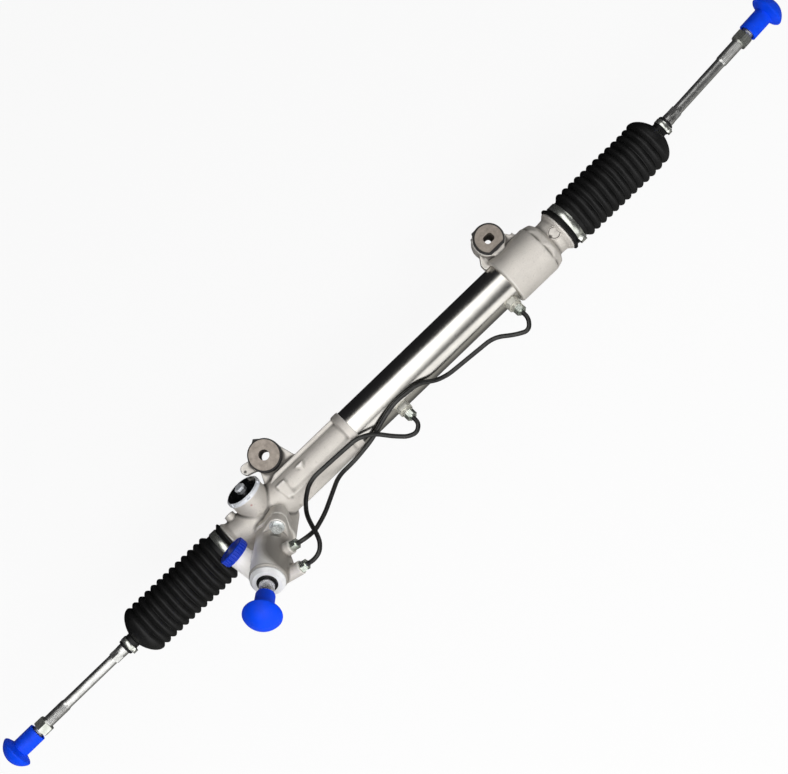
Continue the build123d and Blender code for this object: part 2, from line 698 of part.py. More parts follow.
with BuildPart() as pinion_upper_bearing:
    middle = (upper_bearing_start + upper_bearing_end) / 2
    for inner, outer in ((bearing_inner, bearing_inner + race_wall),
                         (upper_bearing_radius - race_wall, upper_bearing_radius)):
        turn(pinion_line, [(inner, upper_bearing_start + 0.2), (outer, upper_bearing_start + 0.2),
                           (outer, upper_bearing_end), (inner, upper_bearing_end)])
    with Locations(pinion_line.offset(middle)):
        Torus(ball_circle, bearing_ball_radius + fit_gap, mode=Mode.SUBTRACT)
        with PolarLocations(ball_circle, bearing_balls):
            Sphere(bearing_ball_radius)
pinion_upper_bearing.part.label = "pinion_upper_bearing"
export_step(pinion_upper_bearing.part, "parts/pinion_upper_bearing.step")

with BuildPart() as pinion_bottom_plug:
    turn(pinion_line, [(0, plug_start - 0.8), (plug_radius - 1, plug_start - 0.8),
                       (plug_radius, plug_start), (plug_radius, plug_end - 0.1), (0, plug_end - 0.1)])
    cylinder_between(pinion_line, journal_bottom - 1, plug_end, lower_journal_radius + 0.5, Mode.SUBTRACT)
    hexagon_between(pinion_line, plug_start - 1, plug_start + 2, 10, Mode.SUBTRACT)
pinion_bottom_plug.part.label = "pinion_bottom_plug"
export_step(pinion_bottom_plug.part, "parts/pinion_bottom_plug.step")

# ---------------------------------------------------------------- valve housing
valve_flange_top = 46.0
valve_bore_radius = 15.3
valve_bore_end = 98.0
shaft_bore_radius = 13.1
port_boss_radius = 8.2
port_slab = 22.0
flare_thread_radius = 5.0
flare_depth = 7.0
hose_boss_radius = 14.0
bolt_washer_radius = 9.0
hose_boss_length = 35.0
hose_bore_radius = 8.5
plug_half = 5.5
# valve ports: distance along the pinion, towards the guide, and of the face from the axis
valve_ports = ((70.0, 0.0, 31.0), (92.0, -16.7, 34.0))
plug_centre = Vector(-100.5, -59.5, 48.0)
hose_dir = Vector(-0.12, 0.95, 0.28).normalized()
hose_line = Plane(origin=plug_centre, x_dir=Vector(0, 0, 1).cross(hose_dir), z_dir=hose_dir)


def valve_port_line(along, across):
    """Axis of a valve port, from the middle of the valve outwards."""
    return Plane(origin=pinion_point(along, 0, across), x_dir=guide_dir, z_dir=port_dir)


with BuildPart() as valve_housing:
    turn(pinion_line, [(0, valve_foot - spigot_depth), (spigot_radius, valve_foot - spigot_depth),
                       (spigot_radius, valve_foot), (valve_radius, valve_foot),
                       (valve_radius, valve_top - 2.5), (valve_radius - 2.5, valve_top),
                       (0, valve_top)])
    extrude(flange_ears(valve_foot, valve_radius - 1.5), amount=valve_flange_top - valve_foot)
    with BuildSketch(valve_port_line(0, 0)) as slab:
        for along, across, face in valve_ports:
            with Locations((across, along)):
                Circle(port_boss_radius - 0.6)
        make_hull()
    extrude(slab.sketch, amount=port_slab)
    for along, across, face in valve_ports:
        cylinder_between(valve_port_line(along, across), -4, face, port_boss_radius)
    cylinder_between(hose_line, -plug_half - hose_boss_length, -plug_half, hose_boss_radius)
    # bores
    cylinder_between(pinion_line, valve_foot - spigot_depth - 1, valve_bore_end,
                     valve_bore_radius, Mode.SUBTRACT)
    cylinder_between(pinion_line, valve_bore_end - 1, valve_top + 1, shaft_bore_radius, Mode.SUBTRACT)
    for along, across, face in valve_ports:
        line = valve_port_line(along, across)
        cylinder_between(line, -2, face, 2.8, Mode.SUBTRACT)
        cylinder_between(line, face - flare_depth, face + 1, flare_thread_radius, Mode.SUBTRACT)
    gallery = Plane(origin=pinion_point(valve_ports[1][0], 0, valve_ports[1][1]),
                    x_dir=port_dir, z_dir=guide_dir)
    cylinder_between(gallery, 0, 6, 2.4, Mode.SUBTRACT)
    cylinder_between(hose_line, -plug_half - hose_boss_length, -plug_half + 1,
                     hose_bore_radius, Mode.SUBTRACT)
    for angle in bolt_angles:
        hole = polar(bolt_circle, math.radians(angle))
        drill = at(pinion_point(valve_foot, hole[1], hole[0]), pinion_line)
        cylinder_between(drill, -1, valve_flange_top - valve_foot + 1, bolt_radius + 0.3, Mode.SUBTRACT)
        cylinder_between(drill, valve_flange_top - valve_foot, valve_flange_top - valve_foot + 9,
                         bolt_washer_radius + seat_gap, Mode.SUBTRACT)
valve_housing.part.label = "valve_housing"
export_step(valve_housing.part, "parts/valve_housing.step")

with BuildPart() as valve_housing_bolts:
    for angle in bolt_angles:
        hole = polar(bolt_circle, math.radians(angle))
        line = at(pinion_point(0, hole[1], hole[0]), pinion_line)
        cylinder_between(line, ear_start + 3, valve_flange_top + 2, bolt_radius)
        turn(line, [(0, valve_flange_top), (bolt_washer_radius, valve_flange_top),
                    (bolt_washer_radius, valve_flange_top + 1.3),
                    (6.8, valve_flange_top + 2.2), (0, valve_flange_top + 2.2)])
        hexagon_between(line, valve_flange_top + 1, valve_flange_top + 7, 11)
valve_housing_bolts.part.label = "valve_housing_bolts"
export_step(valve_housing_bolts.part, "parts/valve_housing_bolts.step")

plug_rim = 18.2
plug_ribs = 28
with BuildPart() as port_plug:
    turn(hose_line, [(0, plug_half - 0.8), (plug_rim - 4.5, plug_half - 0.8), (plug_rim - 4, plug_half),
                     (plug_rim - 1.2, plug_half), (plug_rim, plug_half - 1.2),
                     (plug_rim, -plug_half + 2.2), (plug_rim - 1, -plug_half + 1),
                     (plug_rim - 1, -plug_half), (hose_bore_radius - 0.1, -plug_half),
                     (hose_bore_radius - 0.1, -plug_half - 9), (hose_bore_radius - 1.5, -plug_half - 11),
                     (0, -plug_half - 11)])
    with Locations(hose_line.offset(-plug_half + 2)):
        with PolarLocations(plug_rim + 0.2, plug_ribs):
            Cylinder(1.2, 2 * plug_half - 3.4, align=BASE, mode=Mode.SUBTRACT)
port_plug.part.label = "port_plug"
export_step(port_plug.part, "parts/port_plug.step")

# ---------------------------------------------------------------- rotary valve
sleeve_radius_outer = valve_bore_radius - fit_gap
sleeve_start = 38.0
sleeve_end = 95.0
ring_depth = 1.6
ring_half = 1.1
ring_positions = (49.0, 61.0, 79.0, 89.0)
sleeve_grooves = (55.0, 70.0, 84.0)

with BuildPart() as valve_sleeve:
    turn(pinion_line, [(upper_journal_radius, sleeve_start), (sleeve_radius_outer, sleeve_start),
                       (sleeve_radius_outer, sleeve_end), (upper_journal_radius, sleeve_end)])
    for along in ring_positions:
        turn(pinion_line, [(sleeve_radius_outer - ring_depth, along - ring_half),
                           (sleeve_radius_outer + 1, along - ring_half),
                           (sleeve_radius_outer + 1, along + ring_half),
                           (sleeve_radius_outer - ring_depth, along + ring_half)], Mode.SUBTRACT)
    for along in sleeve_grooves:
        turn(pinion_line, [(sleeve_radius_outer - 1.2, along - 2.5), (sleeve_radius_outer + 1, along - 2.5),
                           (sleeve_radius_outer + 1, along + 2.5),
                           (sleeve_radius_outer - 1.2, along + 2.5)], Mode.SUBTRACT)
        drill = Plane(origin=pinion_point(along), x_dir=pinion_dir, z_dir=guide_dir)
        cylinder_between(drill, 5, sleeve_radius_outer, 1.4, Mode.SUBTRACT)
valve_sleeve.part.label = "valve_sleeve"
export_step(valve_sleeve.part, "parts/valve_sleeve.step")

with BuildPart() as sleeve_rings:
    for along in ring_positions:
        low, high = along - ring_half + 0.1, along + ring_half - 0.1
        turn(pinion_line, [(sleeve_radius_outer - ring_depth + fit_gap, low),
                           (sleeve_radius_outer, low), (sleeve_radius_outer, high),
                           (sleeve_radius_outer - ring_depth + fit_gap, high)])
sleeve_rings.part.label = "sleeve_rings"
export_step(sleeve_rings.part, "parts/sleeve_rings.step")

rotor_start = pinion_top + 0.5
shaft_radius = 9.0
shaft_end = 155.0
spline_start = 118.0
splines = 24
torsion_top = shaft_end - 10
torsion_waist_radius = 2.6
torsion_head = 18.0  # length of each thick end
torsion_taper = 4.0

with BuildPart() as input_shaft:
    turn(pinion_line, [(torsion_radius + 0.1, pilot_bottom + 0.5), (pilot_radius, pilot_bottom + 0.5),
                       (pilot_radius, rotor_start), (upper_journal_radius - fit_gap, rotor_start),
                       (upper_journal_radius - fit_gap, sleeve_end + 0.5), (shaft_radius, sleeve_end + 1.5),
                       (shaft_radius, shaft_end - 1.2), (shaft_radius - 1.2, shaft_end),
                       (torsion_radius + 0.1, shaft_end)])
    with Locations(pinion_line.offset(50)):
        with PolarLocations(upper_journal_radius + 0.4, 6):
            Cylinder(1.6, 38, align=BASE, mode=Mode.SUBTRACT)
    with Locations(pinion_line.offset(spline_start)):
        with PolarLocations(shaft_radius + 0.15, splines):
            Cylinder(0.75, shaft_end - spline_start + 1, align=BASE, mode=Mode.SUBTRACT)
    cylinder_between(Plane(origin=pinion_point(torsion_top - 6), x_dir=pinion_dir, z_dir=guide_dir),
                     0, shaft_radius + 1, 1.6, Mode.SUBTRACT)
input_shaft.part.label = "input_shaft"
export_step(input_shaft.part, "parts/input_shaft.step")

with BuildPart() as torsion_bar:
    turn(pinion_line, [(0, torsion_bottom + 0.2), (torsion_radius, torsion_bottom + 0.2),
                       (torsion_radius, torsion_bottom + torsion_head),
                       (torsion_waist_radius, torsion_bottom + torsion_head + torsion_taper),
                       (torsion_waist_radius, torsion_top - torsion_head - torsion_taper),
                       (torsion_radius, torsion_top - torsion_head),
                       (torsion_radius, torsion_top), (0, torsion_top)])
torsion_bar.part.label = "torsion_bar"
export_step(torsion_bar.part, "parts/torsion_bar.step")

with BuildPart() as shaft_bearing:
    turn(pinion_line, [(shaft_radius + fit_gap, valve_bore_end + 0.2), (shaft_bore_radius - fit_gap, valve_bore_end + 0.2),
                       (shaft_bore_radius - fit_gap, valve_bore_end + 4.2), (shaft_radius + fit_gap, valve_bore_end + 4.2)])
shaft_bearing.part.label = "shaft_bearing"
export_step(shaft_bearing.part, "parts/shaft_bearing.step")

with BuildPart() as shaft_seal:
    turn(pinion_line, [(shaft_radius + fit_gap, valve_top - 5.2), (shaft_bore_radius - fit_gap, valve_top - 5.2),
                       (shaft_bore_radius - fit_gap, valve_top - 0.5), (shaft_radius + 2.5, valve_top - 0.5),
                       (shaft_radius + 1, valve_top - 2.5), (shaft_radius + fit_gap, valve_top - 3)])
shaft_seal.part.label = "shaft_seal"
export_step(shaft_seal.part, "parts/shaft_seal.step")

cover_bore = 12.4
with BuildPart() as dust_cover:
    turn(pinion_line, [(cover_bore, valve_top), (20.5, valve_top), (20.5, valve_top + 2),
                       (17, valve_top + 6), (cover_bore, valve_top + 6)])
dust_cover.part.label = "dust_cover"
export_step(dust_cover.part, "parts/dust_cover.step")

with BuildPart() as dust_lip_seal:
    turn(pinion_line, [(shaft_radius + 0.3, valve_top + 1), (cover_bore - 0.1, valve_top + 1),
                       (cover_bore - 0.1, valve_top + 6.5), (shaft_radius + 2, valve_top + 7.5),
                       (shaft_radius + 0.3, valve_top + 6.5)])
dust_lip_seal.part.label = "dust_lip_seal"
export_step(dust_lip_seal.part, "parts/dust_lip_seal.step")

cap_flange_radius = 22.7
cap_mouth = shaft_end - 20
cap_wall_end = shaft_end + 12.6
cap_dome_top = cap_wall_end + 14
with BuildPart() as pinion_cap:
    with BuildSketch(section_of(pinion_line)) as outline:
        with BuildLine():
            Polyline((0, cap_dome_top), (0, shaft_end + 1), (shaft_radius + 0.2, shaft_end + 1),
                     (shaft_radius + 0.2, cap_mouth), (shaft_radius + 2.4, cap_mouth),
                     (shaft_radius + 2.8, cap_wall_end - 4.8), (cap_flange_radius - 1, cap_wall_end - 2.2),
                     (cap_flange_radius, cap_wall_end - 1.2), (cap_flange_radius, cap_wall_end))
            dome_arc(cap_flange_radius, cap_wall_end, cap_dome_top)
        make_face()
    revolve(outline.sketch, axis=Axis(pinion_line.origin, pinion_line.z_dir))
pinion_cap.part.label = "pinion_cap"
export_step(pinion_cap.part, "parts/pinion_cap.step")

# ---------------------------------------------------------------- hydraulic lines
pipe_wall = 0.8
bend_share = 0.45
nut_across = 12.0
nut_length = 7.0



def beside_tube(x, angle, clearance):
    """Point of a line's axis: height angle about the rack and clear gap to the tube's surface."""
    reach = tube_radius + pipe_radius + clearance
    return Vector(
        x,
        rack_y - reach * math.cos(math.radians(angle)),
        reach * math.sin(math.radians(angle)),
    )


def port_start(x, run):
    """First run of a line: inside the port neck and straight out of its nut."""
    line = tube_port_line(x)
    return [line.origin + line.z_dir * (port_neck_top + along) for along in (-2, run)]


def port_finish(port, run):
    """Last run of a line: straight into a valve port."""
    along, across, face = port
    return [pinion_point(along, face + gap, across) for gap in (run, 1)]


long_points = (
    port_start(right_port_x, 19)
    + [beside_tube(right_port_x - back, angle, clearance)
       for back, angle, clearance in ((10, 17.2, 36.7), (25, 18.6, 28.7), (44, 22.6, 14))]
    + [beside_tube(left_port_x + onward, angle, clearance)
       for onward, angle, clearance in ((64, 23, 8.1), (49, 29.3, 5), (32, 54.1, 1.4), (-4, 61.6, 1))]
    + [beside_tube(*place) for place in (
        (125, 48.6, 1), (103, 28.8, 1.6), (70, 22.1, 4.1), (45, 27, 5.4), (26, 32.3, 19),
        (4, 37.8, 37.5), (-17, 43.7, 53.3))]
    + port_finish(valve_ports[0], 17)
)
short_points = (
    port_start(left_port_x, 18)
    + [beside_tube(*place) for place in (
        (left_port_x - 9, 18.6, 31.9), (left_port_x - 20, 20.4, 28.3), (122, 27.4, 17.9),
        (110, 43.3, 7.3), (100, 55.6, 5), (89, 63.8, 4.1), (70, 65.5, 3.6), (41, 67.4, 3.5),
        (24, 68, 3), (12, 63.4, 5.8), (-1, 56.5, 16.7), (-11, 51.7, 32.8), (-15, 49.2, 49.6),
        (-17, 47.7, 63.6), (-21, 45.2, 75.2), (-29, 43.4, 83))]
    + port_finish(valve_ports[1], 17)
)


def bend_radii(points):
    """Radius of each bend, so that its tangent points stay on the shorter run beside it."""
    radii = []
    for before, corner, after in zip(points, points[1:], points[2:]):
        arriving, leaving = corner - before, after - corner
        half_turn = math.radians(arriving.get_angle(leaving)) / 2
        shorter = min(arriving.length, leaving.length)
        radii.append(bend_share * shorter / math.tan(half_turn))
    return radii


def bent_pipe(points):
    """Thin pipe of straight runs joined by tangent bends."""
    with BuildPart() as piece:
        with BuildLine() as path:
            FilletPolyline(*points, radius=bend_radii(points))
        with BuildSketch(Plane(origin=path.line @ 0, z_dir=path.line % 0)) as section:
            Circle(pipe_radius)
            Circle(pipe_radius - pipe_wall, mode=Mode.SUBTRACT)
        sweep(section.sketch, path=path.line)
    return piece


long_pipe = bent_pipe(long_points)
long_pipe.part.label = "long_hydraulic_line"
export_step(long_pipe.part, "parts/long_hydraulic_line.step")

short_pipe = bent_pipe(short_points)
short_pipe.part.label = "short_hydraulic_line"
export_step(short_pipe.part, "parts/short_hydraulic_line.step")

with BuildPart() as flare_nuts:
    nut_places = [(tube_port_line(x), port_neck_top) for x in (left_port_x, right_port_x)]
    nut_places += [(valve_port_line(along, across), face) for along, across, face in valve_ports]
    for line, face in nut_places:
        hexagon_between(line, face, face + nut_length, nut_across)
        cylinder_between(line, face - flare_depth + 1, face + nut_length + 1.5, flare_thread_radius - 0.1)
    for line, face in nut_places:
        cylinder_between(line, face - flare_depth, face + nut_length + 3,
                         pipe_radius + fit_gap, Mode.SUBTRACT)
flare_nuts.part.label = "flare_nuts"
export_step(flare_nuts.part, "parts/flare_nuts.step")

# ---------------------------------------------------------------- ball joints, rods, bellows
socket_radius = 17.0
socket_outer = 20.5
socket_base = 2.5 - bar_gap
socket_top = 10.0
both_ways = math.radians(rod_swing * math.sqrt(2))  # swing about both axes at once
seat_angle = both_ways + math.asin((rod_neck_radius + 1.7) / (ball_radius + fit_gap))
seat_end = (ball_radius + fit_gap) * math.cos(seat_angle)
mouth_radius = (rod_neck_radius + 3.4) / math.cos(both_ways) + socket_top * math.tan(both_ways)
cuff_radius = 26.0
big_cuff_start = seat_gap - ball_reach
big_cuff_end = big_cuff_start + neck_length + 2.2
clamp_start = big_cuff_start + 8.2
clamp_end = clamp_start + 8
clamp_radius = cuff_radius + 1.2
first_fold = big_cuff_end + 5.3
bellows_bore = bellows_valley - bellows_wall
shoulder_start = 26.4  # ball centre to the end of the folds
fold_pitch = (shoulder_start - first_fold) / (bellows_folds - 0.75)
small_cuff_radius = 9.3
small_cuff_end = cuff_reach + 15
rod_radius = 7.5
thread_start = 153.0
thread_end = 231.0
jam_nut_start = 182.0
jam_nut_end = jam_nut_start + 12
jam_nut_across = 19.0
rod_cap_radius = 20.6
rod_cap_mouth = thread_end - 33
rod_cap_rim_start = thread_end + 1
rod_cap_top = thread_end + 14.6


def ball_socket(side):
    """Inner ball housing screwed into the end of the rack bar."""
    line = side["end_line"]
    with BuildPart() as piece:
        turn(line, [(0, socket_base), (socket_outer - 1.5, socket_base), (socket_outer, socket_base + 1.5),
                    (socket_outer, 4), (socket_outer - 1.9, socket_top), (0, socket_top)])
        cylinder_between(line, -bar_gap - stud_length + 0.5, socket_base + 1, stud_radius)
        with Locations(line):
            Sphere(socket_radius + fit_gap, mode=Mode.SUBTRACT)
        turn(line, [(0, seat_end), (mouth_radius - 2, socket_top - 1.8), (mouth_radius, socket_top + 0.1),
                    (0, socket_top + 0.1)], Mode.SUBTRACT)
    return piece


def socket_washer(side):
    """Lock washer between rack bar and ball socket."""
    with BuildPart() as piece:
        turn(side["end_line"], [(stud_radius + fit_gap, -bar_gap), (15, -bar_gap),
                                (15, socket_base - 0.2), (stud_radius + fit_gap, socket_base - 0.2)])
    return piece


def ball_seat(side):
    """Plastic cup between ball and socket, open towards the rod."""
    line = side["end_line"]
    with BuildPart() as piece:
        with Locations(line):
            Sphere(socket_radius)
            Sphere(ball_radius + fit_gap, mode=Mode.SUBTRACT)
        cylinder_between(line, seat_end, socket_radius + 1, socket_radius + 1, Mode.SUBTRACT)
    return piece


def tie_rod(side):
    """Inner tie rod: ball, neck, shank with its spanner flats and the threaded end."""
    line = side["rod_line"]
    with BuildPart() as piece:
        with Locations(line):
            Sphere(ball_radius)
        turn(line, [(0, 5), (rod_neck_radius, 5), (rod_neck_radius, 20), (rod_radius, 26),
                    (rod_radius, small_cuff_end + 5), (rod_neck_radius, small_cuff_end + 21),
                    (rod_neck_radius, thread_start - 3), (thread_radius - 0.1, thread_start),
                    (thread_radius - 0.1, thread_end - 1.5), (5.6, thread_end), (0, thread_end)])
        hexagon_between(line, small_cuff_end + 8, small_cuff_end + 18, 13.8)
    return piece


def jam_nut(side):
    with BuildPart() as piece:
        hexagon_between(side["rod_line"], jam_nut_start, jam_nut_end, jam_nut_across)
        turn(side["rod_line"], [(0, jam_nut_start - 1), (9.2, jam_nut_start - 1), (jam_nut_across * 0.6, jam_nut_start + 1.4),
                                (jam_nut_across * 0.6, jam_nut_end - 1.4), (9.2, jam_nut_end + 1), (0, jam_nut_end + 1)],
             Mode.INTERSECT)
        cylinder_between(side["rod_line"], jam_nut_start - 1, jam_nut_end + 1, thread_radius - fit_gap, Mode.SUBTRACT)
    return piece


def rod_cap(side):
    """Protective cap over the threaded end."""
    line = side["rod_line"]
    with BuildPart() as piece:
        with BuildSketch(section_of(line)) as outline:
            with BuildLine():
                Polyline((0, rod_cap_top), (0, thread_end + 1.5), (cap_bore_radius, thread_end + 1.5),
                         (cap_bore_radius, rod_cap_mouth + 6), (9.2, rod_cap_mouth + 6),
                         (9.2, rod_cap_mouth), (11.3, rod_cap_mouth), (11.3, rod_cap_rim_start - 6),
                         (rod_cap_radius - 1, rod_cap_rim_start - 2.4),
                         (rod_cap_radius, rod_cap_rim_start - 1.4), (rod_cap_radius, rod_cap_rim_start))
                dome_arc(rod_cap_radius, rod_cap_rim_start, rod_cap_top)
            make_face()
        revolve(outline.sketch, axis=Axis(line.origin, line.z_dir))
    return piece


def bellows(side):
    """Rubber bellows from the housing neck to the tie rod."""
    line, rod = side["end_line"], side["rod_line"]
    peaks = [first_fold + fold_pitch * index for index in range(bellows_folds)]
    last = peaks[-1] + fold_pitch / 4
    folds_outside, folds_inside = [], []
    for peak in peaks:
        folds_outside += [(bellows_valley, peak - fold_pitch / 2), (bellows_radius - 0.4, peak - 0.9),
                          (bellows_radius - 0.4, peak + 0.9)]
        folds_inside += [(bellows_bore, peak - fold_pitch / 2), (bellows_radius - bellows_wall, peak)]
    with BuildPart() as piece:
        turn(line, [(0, big_cuff_start), (bellows_lip_radius, big_cuff_start),
                    (bellows_lip_radius, big_cuff_start + 2.4), (cuff_radius, big_cuff_start + 7),
                    (cuff_radius, big_cuff_end - 1)]
             + folds_outside + [(bellows_valley + 0.8, last), (0, last)])
        turn(rod, [(0, last - 3), (bellows_valley + 0.5, last - 3), (bellows_valley - 1, 30), (24, 33.5),
                   (14.5, 38), (small_cuff_radius, cuff_reach), (small_cuff_radius, small_cuff_end),
                   (0, small_cuff_end)])
        turn(line, [(0, big_cuff_start - 1), (seat_radius + seat_gap, big_cuff_start - 1),
                    (seat_radius + seat_gap, big_cuff_end - 2)]
             + folds_inside + [(bellows_bore, last - 1), (0, last - 1)], Mode.SUBTRACT)
        turn(rod, [(0, last - 4), (bellows_bore - 0.4, last - 4), (bellows_bore - 1.4, 28.6), (22.4, 31.8),
                   (12, 37), (rod_radius + seat_gap, cuff_reach - 2),
                   (rod_radius + seat_gap, small_cuff_end + 1), (0, small_cuff_end + 1)], Mode.SUBTRACT)
    return piece


def small_clamp(side):
    with BuildPart() as piece:
        turn(side["rod_line"], [(small_cuff_radius + seat_gap, cuff_reach + 5),
                                (small_cuff_radius + 1.3, cuff_reach + 5),
                                (small_cuff_radius + 1.3, cuff_reach + 12),
                                (small_cuff_radius + seat_gap, cuff_reach + 12)])
    return piece


piece_makers = {
    "ball_socket": ball_socket,
    "socket_washer": socket_washer,
    "ball_seat": ball_seat,
    "tie_rod": tie_rod,
    "jam_nut": jam_nut,
    "rod_cap": rod_cap,
    "bellows": bellows,
    "small_clamp": small_clamp,
}
for name, side in sides.items():
    for kind, make_piece in piece_makers.items():
        piece = make_piece(side)
        piece.part.label = f"{name}_{kind}"
        export_step(piece.part, f"parts/{name}_{kind}.step")

with BuildPart() as large_clamps:
    for side in sides.values():
        line = side["end_line"]
        turn(line, [(cuff_radius + fit_gap, clamp_start), (clamp_radius, clamp_start),
                    (clamp_radius, clamp_end), (cuff_radius + fit_gap, clamp_end)])
        centre = (clamp_start + clamp_end) / 2
        ear_line = Plane(origin=line.origin + line.z_dir * centre, x_dir=(1, 0, 0), z_dir=(0, -0.94, 0.342))
        with BuildSketch(ear_line.offset(clamp_radius - 0.8)) as ear:
            Rectangle(clamp_end - clamp_start - 1, 2.4)
        extrude(ear.sketch, amount=5.2)
large_clamps.part.label = "large_clamps"
export_step(large_clamps.part, "parts/large_clamps.step")
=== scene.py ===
"""Looks for a hydraulic rack-and-pinion steering gear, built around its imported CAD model."""

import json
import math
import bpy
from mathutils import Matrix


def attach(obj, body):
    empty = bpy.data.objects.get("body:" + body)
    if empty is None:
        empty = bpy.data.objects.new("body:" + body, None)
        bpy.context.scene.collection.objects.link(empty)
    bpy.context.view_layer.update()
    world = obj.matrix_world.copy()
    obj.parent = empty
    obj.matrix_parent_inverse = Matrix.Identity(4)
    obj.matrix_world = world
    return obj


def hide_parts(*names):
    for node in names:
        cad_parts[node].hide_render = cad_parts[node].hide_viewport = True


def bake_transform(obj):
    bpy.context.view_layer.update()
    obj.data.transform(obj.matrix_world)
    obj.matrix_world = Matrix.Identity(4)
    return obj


bl_info = {
    "name": "Steering Rack Looks",
    "version": (1, 0, 0),
    "blender": (4, 5, 0),
    "location": "View3D > Sidebar > Steering Rack",
    "description": "Rounded castings, bellows, clamps, threads and finishes for a steering rack",
    "category": "Object",
}

import bmesh
import bpy
import numpy as np
from mathutils import Matrix, Vector

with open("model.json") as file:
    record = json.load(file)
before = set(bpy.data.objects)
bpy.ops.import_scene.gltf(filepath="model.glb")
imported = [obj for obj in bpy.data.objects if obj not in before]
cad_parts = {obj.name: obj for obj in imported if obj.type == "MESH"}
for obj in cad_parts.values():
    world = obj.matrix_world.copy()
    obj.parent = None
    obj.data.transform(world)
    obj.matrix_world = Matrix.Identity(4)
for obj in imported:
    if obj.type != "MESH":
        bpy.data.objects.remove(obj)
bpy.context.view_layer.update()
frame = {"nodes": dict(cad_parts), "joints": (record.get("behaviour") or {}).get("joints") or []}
nodes = frame["nodes"]
joints = {joint["name"]: joint for joint in frame["joints"]}

MM = 0.001
SIDES = ("left", "right")
UP = np.array([0.0, 0.0, 1.0])
RACK_DIRECTION = np.array([1.0, 0.0, 0.0])
GUIDE_TILT = math.radians(30)
GUIDE_X = -46.6 * MM
SHADE_AND_SHEEN = "shade_and_sheen"  # mesh attribute: above 0 in hollows, where the casting finish paints shade; below 0 where it paints the surface brighter: rubbed edges, and a painted highlight beside the stakes


# ---------------------------------------------------------------- places taken from the frame
def ball_of(side):
    """Centre of a side's inner ball joint."""
    return np.array(joints[f"{side}_tie_yaw"]["pos_m"], float)


def rod_axis(side):
    """Unit direction of a side's tie rod, outwards."""
    axis = np.array(joints[f"{side}_cap_pull"]["axis"], float)
    return axis / np.linalg.norm(axis)


def end_axis(side):
    """Unit direction of the rack at a side's end, outwards."""
    return np.array([-1.0 if side == "left" else 1.0, 0.0, 0.0])


pinion_origin = np.array(joints["pinion_spin"]["pos_m"], float)
pinion_axis = np.array(joints["pinion_spin"]["axis"], float)
rack_line = ball_of("left")[1:]
guide_axis = np.array([0.0, math.cos(GUIDE_TILT), math.sin(GUIDE_TILT)])
guide_origin = np.array([GUIDE_X, *rack_line])


# ---------------------------------------------------------------- surfaces
def ring_frame(axis):
    """Two unit vectors square to an axis; with the axis they are right-handed."""
    axis = axis / np.linalg.norm(axis)
    across = np.cross(UP, axis)
    if np.linalg.norm(across) < 1e-6:
        across = RACK_DIRECTION
    across = across / np.linalg.norm(across)
    return across, np.cross(axis, across)


def grid_object(name, points, close_columns=True):
    """Object whose mesh is a rows x columns grid of points. The last row joins the first, and so
    does the last column where they are closed."""
    rows, columns = points.shape[:2]
    index = np.arange(rows * columns).reshape(rows, columns)
    index = np.vstack([index, index[:1]])
    if close_columns:
        index = np.hstack([index, index[:, :1]])
    faces = np.stack(
        [index[:-1, :-1], index[:-1, 1:], index[1:, 1:], index[1:, :-1]], axis=-1
    ).reshape(-1, 4)
    mesh = bpy.data.meshes.new(name)
    mesh.from_pydata(points.reshape(-1, 3), [], faces)
    return mesh_object(name, mesh)


def mesh_object(name, mesh, sharp_angle=50.0):
    """Object of a finished mesh: facing outwards, smooth but at edges over sharp_angle degrees."""
    work = bmesh.new()
    work.from_mesh(mesh)
    bmesh.ops.recalc_face_normals(work, faces=work.faces)
    work.to_mesh(mesh)
    work.free()
    mesh.polygons.foreach_set("use_smooth", np.ones(len(mesh.polygons), bool))
    mesh.set_sharp_from_angle(angle=math.radians(sharp_angle))
    mesh.update()
    piece = bpy.data.objects.new(name, mesh)
    bpy.context.scene.collection.objects.link(piece)
    return piece


def merge_points(mesh):
    """Joins the points of a mesh that lie on one another, as at a pole or a seam."""
    work = bmesh.new()
    work.from_mesh(mesh)
    bmesh.ops.remove_doubles(work, verts=work.verts, dist=0.001 * MM)
    work.to_mesh(mesh)
    work.free()


def store_shade_and_sheen(mesh, values):
    """Stores one number for each point, which the casting finish reads for its painted shade and
    brightening.
    """
    stored = mesh.attributes.new(SHADE_AND_SHEEN, "FLOAT", "POINT")
    stored.data.foreach_set("value", values)


def turned(along, radius, angles, centre, axis):
    """Points at centre + axis*along + radius*(across*cos + up*sin), one row per angle."""
    across, up = ring_frame(axis)
    around = np.cos(angles)[:, None] * across + np.sin(angles)[:, None] * up
    return centre + along[..., None] * axis + radius[..., None] * around[:, None, :]


def full_turn(count):
    """Angles of an even closed turn, without the last that repeats the first."""
    return np.linspace(0, 2 * math.pi, count, endpoint=False)


